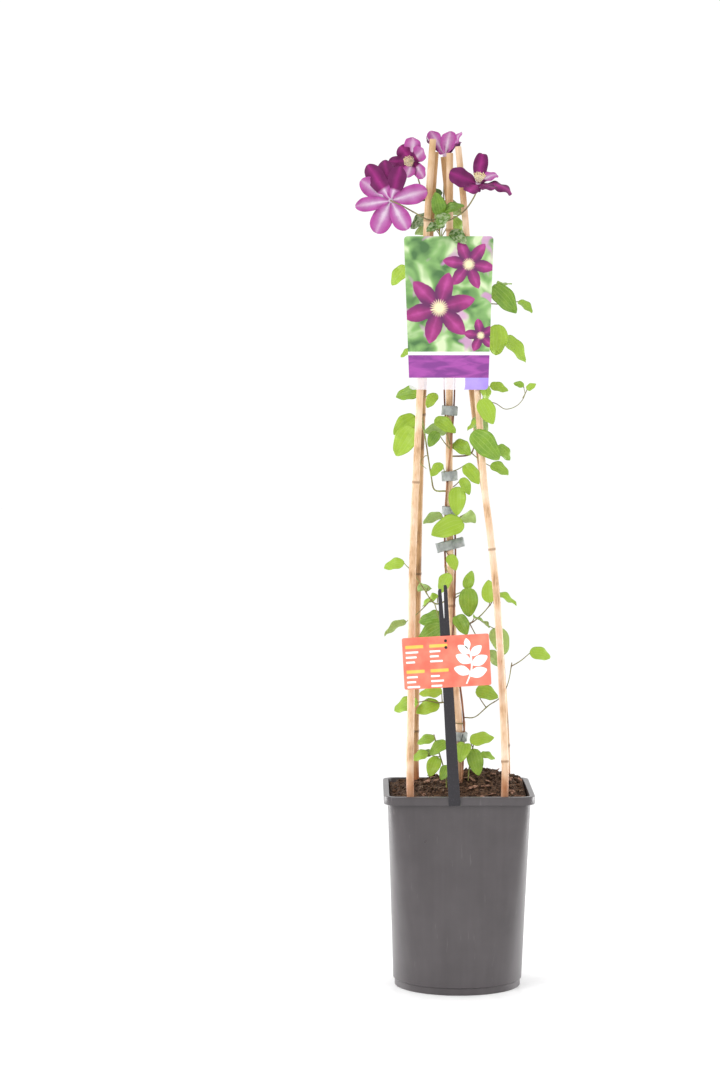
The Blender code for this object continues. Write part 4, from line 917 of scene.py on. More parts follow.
POT_PLASTIC = MouldedPolypropylene("moulded_recycled_polypropylene", "pot_plastic")
PEAT = PeatAndBark("loose_peat_and_bark", "peat")
BARK_CHIP = PeatAndBark("shredded_bark_chip", "peat", "#4A3226", "#7A5A48", "#B08A78", 4.0)
PEAT_FIBRE = LivingStem("dry_peat_fibre", "peat", "#A48D78", "#6E5644", 0.6, 0.8)
BAMBOO = DriedBamboo("dried_bamboo_skin", "bamboo")
BAMBOO_WEATHERED = DriedBamboo("weathered_bamboo_skin", "bamboo_dark", "#CBA478", "#A67C50", "#7A5734",
                               "#4A3220")
STAKE_PLASTIC = MattPlastic("matt_moulded_polystyrene", "stake_plastic")
STAPLE_STEEL = MattPlastic("blackened_staple_wire", "stake_plastic", "#141416", "#34343A", 2.0, 0.35)
CARD_INK = PrintedCard("orange_red_offset_ink", "card")
WHITE_INK = PrintedCard("white_offset_ink", "card", "#F7F3EE", "#FFFFFF")
YELLOW_INK = PrintedCard("yellow_offset_ink", "card", "#FFC04A", "#FFCE6A")
STUDIO_PAPER = PrintedCard("white_studio_paper", "card", "#FAFAFA", "#FEFEFE", 0.9)
LABEL_PICTURE = PicturePrint("four_colour_film_print", "label")
LABEL_BAND = WispedPrint("purple_wisped_film_print", "label")
LABEL_WHITE = PrintedCard("white_film_print", "label", "#F4F1F5", "#FFFFFF", 0.3)
LABEL_LILAC = PrintedCard("lilac_film_print", "label", "#9C82DA", "#AE97E4", 0.3)
LABEL_FILM = ClearFilm("clear_polyester_film", "label")
TAPE = WovenTyingTape("grey_stretch_tying_tape", "tape")
LEAF = LivingLeaf("living_clematis_leaf", "leaf")
BARK = LivingStem("woody_clematis_bark", "leaf", "#A5714C", "#5C3426", 0.8, 0.7)
GREEN_STEM = LivingStem("living_green_stem", "leaf")
TEPAL = LivingTepal("living_velvet_tepal", "tepal")
STALK = LivingStem("downy_flower_stalk", "stalk", "#8F8A58", "#5E4A34", 0.6, 0.6)
STAMEN = LivingStem("cream_stamen_filament", "stamen", "#FBF7E4", "#EFE5BE", 0.5, 0.6)
ANTHER = LivingStem("pollen_dusted_anther", "stamen", "#F6EDC4", "#E3CF8C", 0.4, 0.85)


class Skin:
    """Collects points, faces and painted values, and turns them into one object."""

    def __init__(self, name: str, *finishes: Finish) -> None:
        """Start an empty skin.

        Args:
            name: The object's name.
            finishes: Its finishes. Faces take the first unless another is named.
        """
        self.name = name
        self.finishes = list(dict.fromkeys(finishes))
        self.points: list[Vector] = []
        self.faces: list[Sequence[int]] = []
        self.slots: list[int] = []
        self.painted: dict[str, dict[int, float]] = {}

    def point(self, place: Vector, paint: Paint | None = None) -> int:
        """Add a point.

        Args:
            place: The point.
            paint: Its painted values by name.

        Returns:
            The point's number.
        """
        number = len(self.points)
        self.points.append(place)
        for name, value in (paint or {}).items():
            self.painted.setdefault(name, {})[number] = value
        return number

    def face(self, corners: Sequence[int], finish: Finish | None = None) -> None:
        """Add a face with a finish."""
        self.faces.append(tuple(corners))
        self.slots.append(self.finishes.index(finish) if finish else 0)

    def loft(self, rings: Sequence[Sequence[Vector]], finish: Finish | None = None,
             paints: Sequence[Paint] | None = None, capped: bool = True) -> None:
        """Skin over closed rings of equal point counts.

        Args:
            rings: The rings' points, from the lowest to the highest, anticlockwise from above.
            finish: The finish.
            paints: One set of painted values for each ring.
            capped: Whether the first and the last ring are closed with a face.
        """
        paints = paints or [{}] * len(rings)
        rows = [[self.point(point, paint) for point in ring] for ring, paint in zip(rings, paints)]
        count = len(rows[0])
        for lower, upper in zip(rows, rows[1:]):
            for index in range(count):
                after = (index + 1) % count
                self.face((lower[index], lower[after], upper[after], upper[index]), finish)
        if capped:
            self.face(list(reversed(rows[0])), finish)
            self.face(rows[-1], finish)

    def tube(self, line: Sequence[Vector], radii: Sequence[float], sides: int,
             finish: Finish | None = None) -> None:
        """Add a closed round tube along a line."""
        self.loft(tube_rings(line, radii, sides), finish)

    def join_rims(self, low: Grid, high: Grid, finish: Finish | None = None) -> None:
        """Join two grids of points of one shape along their four edges.

        Args:
            low: The first grid's point numbers, by row and column.
            high: The second grid's.
            finish: The finish.
        """
        rows, columns = len(low) - 1, len(low[0]) - 1
        rim = [(0, c) for c in range(columns)] + [(r, columns) for r in range(rows)]
        rim += [(rows, c) for c in range(columns, 0, -1)] + [(r, 0) for r in range(rows, 0, -1)]
        for (r, c), (r2, c2) in zip(rim, [*rim[1:], rim[0]]):
            self.face((low[r][c], low[r2][c2], high[r2][c2], high[r][c]), finish)

    def merge_last_ring(self, count: int) -> None:
        """Join the last ring of points to the first, which makes a loft endless.

        Args:
            count: The number of points in a ring.
        """
        first = len(self.points) - count
        self.faces = [tuple(number % first for number in face) for face in self.faces]
        del self.points[first:]

    def thing(self, *replaced: str, smooth: bool = True, sharp: float | None = None) -> bpy.types.Object:
        """Make the object, put it in the scene, and tie it to the frame.

        Args:
            replaced: The model's nodes that it stands for.
            smooth: Whether the faces are shaded smooth.
            sharp: The angle in degrees from which an edge is sharp all the same.

        Returns:
            The object, which rides on the root body.
        """
        mesh = bpy.data.meshes.new(self.name)
        mesh.from_pydata(self.points, [], self.faces)
        for finish in self.finishes:
            mesh.materials.append(finish.material())
        mesh.polygons.foreach_set("material_index", self.slots)
        mesh.polygons.foreach_set("use_smooth", [smooth] * len(self.faces))
        for name, values in self.painted.items():
            layer = mesh.attributes.new(name, "FLOAT", "POINT")
            layer.data.foreach_set("value", [values.get(number, 0.0) for number in range(len(self.points))])
        mesh.update()
        if sharp is not None:
            mesh.set_sharp_from_angle(angle=math.radians(sharp))
        made = bpy.data.objects.new(self.name, mesh)
        bpy.context.scene.collection.objects.link(made)
        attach(made, "root")
        if replaced:
            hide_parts(*replaced)
        log.info("%s: %d points, %d faces", self.name, len(self.points), len(self.faces))
        return made


def millimetres(points: Sequence[Point]) -> list[Vector]:
    """Turn points in mm to vectors in metres."""
    return [Vector(point) * MM for point in points]


def full_turn(count: int) -> list[float]:
    """Return the angles of even steps round a circle."""
    return [2 * math.pi * step / count for step in range(count)]


def level(turn: float) -> Vector:
    """Return the level unit vector at an angle from +X."""
    return Vector((math.cos(turn), math.sin(turn), 0))


def smooth_line(points: Sequence[Vector], spacing: float) -> list[Vector]:
    """Sample a Catmull-Rom curve through some points.

    Args:
        points: The points.
        spacing: About how far apart the samples are.

    Returns:
        The samples, of which the first and the last are the curve's ends.
    """
    ends = [points[0] * 2 - points[1], *points, points[-1] * 2 - points[-2]]
    samples = []
    for before, start, end, after in zip(ends, ends[1:], ends[2:], ends[3:]):
        steps = max(1, round((end - start).length / spacing))
        for step in range(steps):
            t = step / steps
            bend = 2 * before - 5 * start + 4 * end - after
            twist = 3 * start - before - 3 * end + after
            samples.append(0.5 * (2 * start + (end - before) * t + bend * t * t + twist * t ** 3))
    samples.append(points[-1].copy())
    return samples


def line_at_height(line: Sequence[Vector], height: float) -> Vector:
    """Return a rising line's point at a height.

    Args:
        line: The line.
        height: The height.

    Returns:
        The point, or the line's end where the height is beyond it.
    """
    for low, high in zip(line, line[1:]):
        if low.z <= height <= high.z:
            return low.lerp(high, (height - low.z) / (high.z - low.z))
    return line[-1].copy() if height > line[-1].z else line[0].copy()


def taper(line: Sequence[Vector], start: float, end: float) -> list[float]:
    """Return a radius for each point of a line, from start to end."""
    last = len(line) - 1
    return [start + (end - start) * index / last for index in range(last + 1)]


def tube_rings(line: Sequence[Vector], radii: Sequence[float], sides: int) -> list[list[Vector]]:
    """Return rings of points square to a line, without twist from one to the next.

    Args:
        line: The tube's middle line.
        radii: The radius at each of its points.
        sides: The number of points in a ring.

    Returns:
        One ring for each point of the line.
    """
    heading = (line[1] - line[0]).normalized()
    out = heading.orthogonal().normalized()
    rings = []
    for index, (place, radius) in enumerate(zip(line, radii)):
        ahead = (line[min(index + 1, len(line) - 1)] - line[max(index - 1, 0)]).normalized()
        out = (out - ahead * out.dot(ahead)).normalized()
        across = ahead.cross(out)
        rings.append([place + (out * math.cos(turn) + across * math.sin(turn)) * radius
                      for turn in full_turn(sides)])
    return rings


def frame_along(origin: Vector, forward: Vector, upper: Vector) -> Matrix:
    """Return a frame with +Y forward and +Z as near to the upper direction as it goes.

    Args:
        origin: The frame's origin.
        forward: The direction of +Y.
        upper: The direction that +Z leans to.

    Returns:
        The frame.
    """
    forward = forward.normalized()
    side = forward.cross(upper)
    if side.length < 1e-3:
        side = forward.cross(Vector((1, 0.2, 0)))
    side.normalize()
    normal = side.cross(forward).normalized()
    return Matrix.Translation(origin) @ Matrix((side, forward, normal)).transposed().to_4x4()


def direction(heading: float, pitch: float) -> Vector:
    """Return the unit vector of a heading and a pitch in degrees."""
    turn, rise = math.radians(heading), math.radians(pitch)
    return Vector((math.cos(turn) * math.cos(rise), math.sin(turn) * math.cos(rise), math.sin(rise)))


def nearest_on(lines: Sequence[Sequence[Vector]], place: Vector) -> Vector:
    """Return the point of some sampled lines that is nearest to a place.

    Args:
        lines: The lines.
        place: The place.

    Returns:
        The point.
    """
    found = []
    for line in lines:
        for start, end in zip(line, line[1:]):
            _, share = intersect_point_line(place, start, end)
            point = start.lerp(end, min(1.0, max(0.0, share)))
            found.append(((place - point).length, point))
    return min(found, key=lambda pair: pair[0])[1]


def seat_on(stem: StemLine, place: Vector) -> Vector:
    """Return the point just clear of a stem's surface, on its side towards a place.

    Args:
        stem: The stem.
        place: The place.

    Returns:
        The point.
    """
    root = nearest_on([stem.line], place)
    radius = min(zip(stem.line, stem.radii), key=lambda knot: (knot[0] - root).length)[1]
    return root + (place - root).normalized() * (radius + GAP)


def rounded_square(half: float, corner: float, height: float, corner_points: int) -> list[Vector]:
    """Return the points of a level square with round corners.

    Args:
        half: Half the square's width.
        corner: The corners' radius.
        height: The square's height.
        corner_points: The number of points in each corner.

    Returns:
        The points, anticlockwise from above.
    """
    points = []
    across = half - corner
    for quarter in range(4):
        centre = level(quarter * math.pi / 2 + math.pi / 4) * across * math.sqrt(2)
        for step in range(corner_points):
            angle = quarter * math.pi / 2 + math.pi / 2 * step / (corner_points - 1)
            points.append(Vector((centre.x + corner * math.cos(angle), centre.y + corner * math.sin(angle),
                                  height)))
    return points


def body_section(height: float, inset: float, corner_points: int) -> list[Vector]:
    """Return a section of the pot's body: round at the foot, square at the rim.

    Args:
        height: The section's height.
        inset: How far it lies inside the outer wall.
        corner_points: The number of points in each corner.

    Returns:
        The points, anticlockwise from above.
    """
    top = POT_HEIGHT - LIP_HEIGHT
    share = (height - FOOT_HEIGHT) / (top - FOOT_HEIGHT)
    half = BODY_FOOT_HALF + (BODY_TOP_HALF - BODY_FOOT_HALF) * share
    round_corner = BODY_FOOT_HALF - ROUND_FLAT
    corner = min(round_corner + (BODY_TOP_CORNER - round_corner) * share, half - ROUND_FLAT)
    return rounded_square(half - inset, corner - inset, height, corner_points)


@dataclass
class NurseryPot:
    """The moulded pot: an inset round foot, a body that turns square, and a folded lip."""

    corner_points: int = 22
    body_rings: int = 26
    lip_rounds: int = 4
    soft_edge: float = 0.6 * MM
    drain_count: int = 6
    drain_sides: int = 24
    drain_radius: float = 5 * MM
    drain_circle: float = 58 * MM
    sharp: float = 34

    def foot(self, inset: float, height: float) -> list[Vector]:
        """Return a ring of the foot, inset from its outer wall."""
        return rounded_square(FOOT_HALF - inset, FOOT_HALF - ROUND_FLAT - inset, height, self.corner_points)

    def lip(self, inset: float, height: float) -> list[Vector]:
        """Return a ring of the lip, inset from its outer wall."""
        return rounded_square(RIM_HALF - inset, RIM_CORNER - inset, height, self.corner_points)

    def wall(self, inset: float, low: float, high: float) -> list[list[Vector]]:
        """Return the body's rings from one height to another, inset from its outer wall."""
        heights = [low + (high - low) * ring / self.body_rings for ring in range(self.body_rings + 1)]
        return [body_section(height, inset, self.corner_points) for height in heights]

    def rings(self) -> list[list[Vector]]:
        """Follow the pot's wall from the floor's underside up, over the lip and down inside.

        Returns:
            The rings.
        """
        soft = self.soft_edge
        skirt = POT_HEIGHT - LIP_HEIGHT
        flange = POT_HEIGHT - LIP_WALL
        rings = [self.foot(soft, 0.0), self.foot(0.0, soft), self.foot(0.0, FOOT_HEIGHT),
                 *self.wall(0.0, FOOT_HEIGHT + FOOT_STEP, skirt),
                 body_section(flange, 0.0, self.corner_points),
                 self.lip(LIP_WALL, flange), self.lip(LIP_WALL, skirt + soft),
                 self.lip(LIP_WALL - soft / 2, skirt), self.lip(soft / 2, skirt), self.lip(0.0, skirt + soft)]
        for step in range(self.lip_rounds + 1):
            angle = math.pi / 2 * step / self.lip_rounds
            rings.append(self.lip(LIP_ROUND * (1 - math.cos(angle)),
                                  POT_HEIGHT - LIP_ROUND * (1 - math.sin(angle))))
        rings += [body_section(POT_HEIGHT, WALL - soft, self.corner_points),
                  *self.wall(WALL, POT_HEIGHT - soft, FOOT_HEIGHT),
                  self.foot(WALL, FOOT_HEIGHT), self.foot(WALL, POT_FLOOR)]
        return rings

    def drill(self) -> bpy.types.Object:
        """Make the rods that bore the drain holes.

        Returns:
            The rods as one object.
        """
        skin = Skin("drills", POT_PLASTIC)
        for index in range(self.drain_count):
            middle = level(2 * math.pi * (index + 0.5) / self.drain_count) * self.drain_circle
            ends = [middle - Vector((0, 0, POT_FLOOR)), middle + Vector((0, 0, 2 * POT_FLOOR))]
            skin.tube(ends, [self.drain_radius] * 2, self.drain_sides)
        return skin.thing(smooth=False)

    def build(self) -> None:
        """Make the pot, bore its drain holes and keep its edges sharp."""
        skin = Skin("nursery_pot", POT_PLASTIC)
        skin.loft(self.rings())
        pot = skin.thing("pot")
        drill = self.drill()
        bore = pot.modifiers.new("drains", "BOOLEAN")
        bore.operation = "DIFFERENCE"
        bore.object = drill
        bore.solver = "EXACT"
        bpy.context.view_layer.update()
        bored = pot.evaluated_get(bpy.context.evaluated_depsgraph_get())
        mesh = bpy.data.meshes.new_from_object(bored)
        pot.modifiers.clear()
        pot.data = mesh
        bpy.data.objects.remove(drill)
        mesh.set_sharp_from_angle(angle=math.radians(self.sharp))


def soil_height(x: float, y: float) -> float:
    """Return the peat's height at a place: a mound behind the centre, with lumps.

    Args:
        x: The place's X.
        y: The place's Y.

    Returns:
        The height.
    """
    phase = random.Random(SEED).uniform(0, math.pi)
    away = (Vector((x, y)) - SOIL_MOUND_AT).length / SOIL_MOUND_SPREAD
    mound = SOIL_MOUND * math.exp(-away * away)
    x_mm, y_mm = x / MM, y / MM
    lumps = (math.sin(x_mm / 5.1 + phase) * math.cos(y_mm / 4.3 - phase)
             + 0.7 * math.sin(x_mm / 2.7 - y_mm / 3.1 + 2 * phase))
    rise = SOIL_BACK_RISE * (y / RIM_HALF + 1) / 2
    return SOIL_EDGE + mound + rise + SOIL_LUMP * lumps / 1.7


@dataclass
class PeatFill:
    """The peat in the pot: a crumbly heap, loose crumbs, bark chips and pale fibres."""

    corner_points: int = 40
    rings: int = 66
    crumbs: int = 520
    chips: int = 46
    fibres: int = 60
    crumb_relief: float = 2.4 * MM
    reach: float = BODY_TOP_HALF - WALL - 6 * MM
    crumb_sides: int = 7
    crumb_bands: tuple[int, ...] = (-72, -36, 0, 36, 72)
    chip_sides: int = 9
    chip_lift: float = 1.5 * MM
    fibre_radius: float = 0.28 * MM

    def surface(self, x: float, y: float) -> Vector:
        """Return the crumbly surface's point over a place.

        Args:
            x: The place's X.
            y: The place's Y.

        Returns:
            The point.
        """
        coarse = noise.noise(Vector((x, y, 0)) * per_mm(9))
        fine = noise.noise(Vector((y, x, 0.4)) * per_mm(4))
        height = soil_height(x, y) + self.crumb_relief * (coarse + 0.6 * fine)
        return Vector((x, y, max(height, SOIL_EDGE - SOIL_LUMP)))

    def heap(self) -> None:
        """Make the heap, from the pot's floor to its crumbly top."""
        inset = WALL + GAP
        half = FOOT_HALF - inset
        edge = body_section(SOIL_EDGE - SOIL_LUMP, inset, self.corner_points)
        rings = [rounded_square(half, half - ROUND_FLAT, height + GAP, self.corner_points)
                 for height in (POT_FLOOR, FOOT_HEIGHT)]
        rings.append(edge)
        for ring in range(1, self.rings + 1):
            scale = 1 - ring / (self.rings + 0.6)
            rings.append([self.surface(point.x * scale, point.y * scale) for point in edge])
        skin = Skin("peat_heap", PEAT)
        skin.loft(rings)
        skin.thing("soil")

    def spots(self, rng: random.Random, count: int) -> Iterator[Vector]:
        """Yield random places on the surface, inside the pot's rim."""
        for _ in range(count):
            yield self.surface(rng.uniform(-self.reach, self.reach), rng.uniform(-self.reach, self.reach))

    def loose(self) -> None:
        """Make the loose crumbs, the bark chips and the fibres that lie on the heap."""
        rng = random.Random(f"{SEED}-peat")
        skin = Skin("peat_crumbs", PEAT, BARK_CHIP, PEAT_FIBRE)
        for spot in self.spots(rng, self.crumbs):
            self.add_crumb(skin, spot, rng)
        for spot in self.spots(rng, self.chips):
            self.add_chip(skin, spot + Vector((0, 0, self.chip_lift)), rng)
        for spot in self.spots(rng, self.fibres):
            half = direction(rng.uniform(0, 360), rng.uniform(-10, 20)) * rng.uniform(4, 9) * MM
            bow = Vector((rng.uniform(-2, 2), rng.uniform(-2, 2), rng.uniform(1, 3))) * MM
            line = smooth_line([spot - half, spot + bow, spot + half], 2 * MM)
            skin.tube(line, [self.fibre_radius] * len(line), 5, PEAT_FIBRE)
        skin.thing()

    def add_crumb(self, skin: Skin, spot: Vector, rng: random.Random) -> None:
        """Add a lumpy crumb of uneven rings between two ends.

        Args:
            skin: The skin that takes it.
            spot: Its middle.
            rng: Draws its size, turn, stretch and lumps.
        """
        size = rng.uniform(1.0, 3.4) * MM
        angle = rng.uniform(0, math.pi)
        turn = Matrix.Rotation(angle, 4, direction(rng.uniform(0, 360), rng.uniform(-90, 90)))
        stretch = Matrix.Diagonal((1, rng.uniform(0.6, 1), rng.uniform(0.5, 0.8), 1))
        place = Matrix.Translation(spot) @ turn @ stretch
        headings = [360 * side / self.crumb_sides for side in range(self.crumb_sides)]
        skin.loft([[place @ (direction(heading, band) * size * rng.uniform(0.8, 1.15))
                    for heading in headings] for band in self.crumb_bands])

    def add_chip(self, skin: Skin, spot: Vector, rng: random.Random) -> None:
        """Add a flat, torn chip of bark.

        Args:
            skin: The skin that takes it.
            spot: Its middle.
            rng: Draws its size, tilt and torn edge.
        """
        length, width = rng.uniform(4, 9) * MM, rng.uniform(2, 4.5) * MM
        place = frame_along(spot, direction(rng.uniform(0, 360), rng.uniform(-25, 25)),
                            Vector((rng.uniform(-0.5, 0.5), rng.uniform(-0.5, 0.5), 1)))
        outline = []
        for turn in full_turn(self.chip_sides):
            torn = rng.uniform(0.7, 1.1)
            outline.append(Vector((math.cos(turn) * width * torn, math.sin(turn) * length * torn, 0)))
        thick = rng.uniform(0.5, 1.0) * MM
        rings = [[place @ (point * share + Vector((0, 0, height))) for point in outline]
                 for share, height in ((0.85, -thick), (1.0, -thick / 2), (1.0, thick / 2), (0.85, thick))]
        skin.loft(rings, BARK_CHIP)

    def build(self) -> None:
        """Make the heap and all that lies on it."""
        self.heap()
        self.loose()


def cane_line(cane: Cane) -> list[Vector]:
    """Return a cane's line as the model has it."""
    return smooth_line(millimetres(cane.line), CANE_STEP)


@dataclass
class BambooCane:
    """One cane, with swollen joints, a bud scar at each, and a hollow sawn end."""

    cane: Cane
    sides: int = 24
    step: float = 9 * MM
    line_step: float = 20 * MM
    near_joint: tuple[float, ...] = (-7, -5, -3.6, -2.4, -1.4, -0.5, 0.5, 1.4, 2.4, 3.6, 5, 7)
    ridge: float = 0.12
    ridge_reach: float = 2.4 * MM
    waist: float = 0.03
    waist_drop: float = 5 * MM
    scar: float = 0.16
    scar_rise: float = 2.5 * MM
    scar_reach: float = 2.6 * MM
    scar_width: float = 0.42
    uneven: float = 0.02
    bore_share: float = 0.34
    bore_depth: float = 9 * MM
    sharp: float = 50

    @property
    def joints(self) -> list[float]:
        """The joints' heights in metres."""
        return [joint * MM for joint in self.cane.joints]

    def heights(self, low: float, high: float) -> list[float]:
        """Return the rings' heights, close together near the joints.

        Args:
            low: The foot's height.
            high: The tip's height.

        Returns:
            The heights, rising.
        """
        tight = [joint + offset * MM for joint in self.joints for offset in self.near_joint]
        count = round((high - low) / self.step)
        plain = [low + (high - low) * index / count for index in range(count + 1)]
        keep = [z for z in plain if all(abs(z - joint) > self.step for joint in self.joints)]
        return sorted([*keep, *tight])

    def nearness(self, z: float, above: float) -> float:
        """Return how near a height is to a place above any joint, from 0 to about 1."""
        return sum(math.exp(-((z - joint - above) / self.ridge_reach) ** 2) for joint in self.joints)

    def swelling(self, turn: float, z: float, scars: Sequence[float]) -> float:
        """Return a point's outward share: joint ridges, waists below them, bud scars and unevenness.

        Args:
            turn: The point's angle round the cane.
            z: Its height.
            scars: The angle of each joint's bud scar.

        Returns:
            The share of the radius that is added.
        """
        swell = self.ridge * self.nearness(z, 0.0) - self.waist * self.nearness(z, -self.waist_drop)
        for joint, scar in zip(self.joints, scars):
            off = math.remainder(turn - scar, 2 * math.pi)
            rise = math.exp(-((z - joint - self.scar_rise) / self.scar_reach) ** 2)
            swell += self.scar * math.exp(-(off / self.scar_width) ** 2) * rise
        return swell + self.uneven * noise.noise(Vector((turn, z * 60, len(scars))))

    def build(self) -> None:
        """Make the cane."""
        cane = self.cane
        rng = random.Random(f"{SEED}-{cane.name}-skin")
        line = smooth_line(cane_line(cane), self.line_step)
        low, high = line[0].z, line[-1].z
        scars = [rng.uniform(0, 2 * math.pi) for _ in cane.joints]
        heights = self.heights(low, high)
        knots = [line_at_height(line, z) for z in heights]
        radii = [(cane.foot_radius + (cane.tip_radius - cane.foot_radius) * (z - low) / (high - low)) * MM
                 for z in heights]
        rings = [[place + (point - place) * (1 + self.swelling(turn, z, scars))
                  for turn, point in zip(full_turn(self.sides), ring)]
                 for ring, place, z in zip(tube_rings(knots, radii, self.sides), knots, heights)]
        paints = [{"joint": min(1.0, self.nearness(z, 0.0))} for z in heights]
        self.saw(rings, paints, knots[-1])
        skin = Skin(f"{cane.name}_bamboo", BAMBOO_WEATHERED if cane.weathered else BAMBOO)
        skin.loft(rings, None, paints)
        skin.thing(cane.name, sharp=self.sharp)

    def saw(self, rings: list[list[Vector]], paints: list[Paint], end: Vector) -> None:
        """Add the sawn end's hollow to a cane's rings, with painted shade that darkens down inside it.

        Args:
            rings: The cane's rings, which it adds to.
            paints: Their painted values, which it adds to.
            end: The middle of the sawn end.
        """
        rim = rings[-1]
        down = (rings[-2][0] - rings[-1][0]).normalized()
        # Each ring of the hollow gets a "joint" value that paints shade in the rings' colour: light at the
        # cut, dark at the bottom.
        for share, depth, shade in ((1.0, 0.0, 0.3), (0.9, self.bore_depth, 0.9)):
            rings.append([end + (point - end) * self.bore_share * share + down * depth for point in rim])
            paints.append({"joint": shade})


@dataclass
class Blade:
    """A waved leaf or tepal along its frame's +Y, with its upper face to +Z.

    outline gives its relative half-width along it. fold tilts its halves up from the rib, and
    arch bends the rib down, nearer the tip the higher late is. wave ripples its edges, and
    quilt raises it between the veins. turned is the share of its length, from its base, that
    shows the other side's colour.
    """

    place: Matrix
    length: float
    width: float
    outline: Callable[[float], float]
    waves: int
    fold: float
    arch: float
    late: float
    wave: float
    phase: float
    paint: Paint
    columns: int = 14
    rows: int = 18
    thick: float = 0.45 * MM
    end: float = 0.008
    quilt: float = 0.0
    quilt_width: float = 0.38
    turned: float = 0.0
    turned_blend: float = 0.06
    rib_steps: int = 24

    def rib(self, t: float) -> tuple[float, float, float]:
        """Follow the rib from the base.

        Args:
            t: The share of the length.

        Returns:
            How far along and how far down the rib is there, and its bend.
        """
        steps = self.rib_steps
        along = drop = 0.0
        for step in range(steps):
            bend = self.arch * (t * (step + 0.5) / steps) ** self.late
            along += math.cos(bend) / steps
            drop += math.sin(bend) / steps
        return self.length * t * along, self.length * t * drop, self.arch * t ** self.late

    def at(self, across: float, t: float, rib: tuple[float, float, float], rise: float) -> Vector:
        """Return the blade's point.

        Args:
            across: The place across the blade, from -1 to 1.
            t: The place along it, from 0 to 1.
            rib: What rib() says for t.
            rise: How far the point stands over the blade's middle face.

        Returns:
            The point in the frame that place stands in.
        """
        along, drop, bend = rib
        half = self.width / 2 * self.outline(t)
        ripple = self.wave * math.sin(self.waves * math.pi * t + self.phase + (1.3 if across > 0 else 0.0))
        lift = abs(across) * (self.fold * half + ripple * min(1.0, half / (0.2 * self.width))) + rise
        return self.place @ Vector((across * half, along + lift * math.sin(bend),
                                    lift * math.cos(bend) - drop))

    def add_side(self, skin: Skin, facing: Facing) -> Grid:
        """Add the points of one side.

        Args:
            skin: The skin that takes them.
            facing: The side.

        Returns:
            The points' numbers, by row and column.
        """
        sign = 1 if facing is Facing.UPPER else -1
        grid = []
        for row in range(self.rows + 1):
            t = self.end + (1 - 2 * self.end) * row / self.rows
            rib = self.rib(t)
            over = min(1.0, max(0.0, (self.turned - t) / self.turned_blend + 0.5)) if self.turned else 0.0
            shown = facing.value + over * (1 - 2 * facing.value)
            numbers = []
            for column in range(self.columns + 1):
                across = 2 * column / self.columns - 1
                edge = abs(across)
                rise = sign * self.thick / 2 * (1 - 0.6 * edge ** 3)
                rise += self.quilt * math.sin(math.pi * edge / self.quilt_width) ** 2 * (1 - edge ** 4)
                paint = {"across": across, "along": t, "side": shown, **self.paint}
                numbers.append(skin.point(self.at(across, t, rib, rise), paint))
            grid.append(numbers)
        return grid

    def add_to(self, skin: Skin, finish: Finish) -> None:
        """Add the blade to a skin as a closed solid that thins towards its edge.

        Args:
            skin: The skin that takes it.
            finish: The finish.
        """
        upper, under = [self.add_side(skin, facing) for facing in Facing]
        for row in range(self.rows):
            for column in range(self.columns):
                cell = ((row, column), (row, column + 1), (row + 1, column + 1), (row + 1, column))
                skin.face([upper[r][c] for r, c in cell], finish)
                skin.face([under[r][c] for r, c in reversed(cell)], finish)
        skin.join_rims(under, upper, finish)


def leaf_width(t: float) -> float:
    """Return a leaf's relative half-width at a share of its length: ovate, pointed."""
    return math.sqrt(t) * (1 - t) ** 0.8 / 0.42


def tepal_width(t: float) -> float:
    """Return a tepal's relative half-width: narrow claw, broad middle, pointed tip."""
    return t ** 0.8 * (1 - t) ** 0.5 / 0.42


def leaf_tries(name: str, index: int, leaf: Leaf) -> Iterator[Leaf]:
    """Yield places for a leaf, as the model's search does: as measured, then ever further off.

    Args:
        name: The stem that carries the leaf.
        index: The leaf's number on the stem.
        leaf: The leaf as measured.

    Returns:
        The leaf at each place.
    """
    rng = random.Random(f"{SEED}-{name}-{index}-tries")
    yield leaf
    for attempt in range(1, PLACING_TRIES):
        shift = [reach * attempt * rng.uniform(-1, 1) for reach in PLACING_SHIFT]
        swing = min(60.0, PLACING_SWING * attempt)
        yield replace(leaf, centre=tuple(Vector(leaf.centre) + Vector(shift)),
                      heading=leaf.heading + swing * rng.uniform(-1, 1),
                      pitch=leaf.pitch + 0.65 * swing * rng.uniform(-1, 1),
                      drop=rng.choice(PLACING_DROPS))


def leaf_blade(name: str, index: int, leaf: Leaf,
               lines: Sequence[Sequence[Vector]]) -> tuple[Blade, list[Vector]]:
    """Return a leaf's blade and its stalk's two ends.

    Args:
        name: The stem that carries the leaf.
        index: The leaf's number on the stem.
        leaf: The leaf.
        lines: The stem's and its tendrils' lines.

    Returns:
        The blade, and the stalk's root and end.
    """
    rng = random.Random(f"{SEED}-{name}-{index}")
    length = leaf.length * MM
    width = length * rng.uniform(0.56, 0.68)
    fold, arch = rng.uniform(0.15, 0.4), rng.uniform(0.25, 0.7)
    wave, phase = rng.uniform(0.03, 0.05) * length, rng.uniform(0, math.pi)
    along = direction(leaf.heading, leaf.pitch)
    facing = Vector((0, -leaf.facing, 1 - 0.55 * abs(leaf.facing)))
    facing += direction(leaf.heading, 0) * rng.uniform(-0.2, 0.2)
    base = Vector(leaf.centre) * MM - along * length / 2
    root = nearest_on(lines, base - Vector((0, 0, leaf.drop * MM)))
    paint = {"tint": rng.uniform(-0.15, 0.45), "mottle": 0.0}
    form = Blade(frame_along(base, along, facing), length, width, leaf_width, waves=4, fold=fold,
                 arch=arch, late=1, wave=wave, phase=phase, paint=paint, quilt=0.09 * MM)
    return form, [root, base + along * STALK_INTO_BLADE]


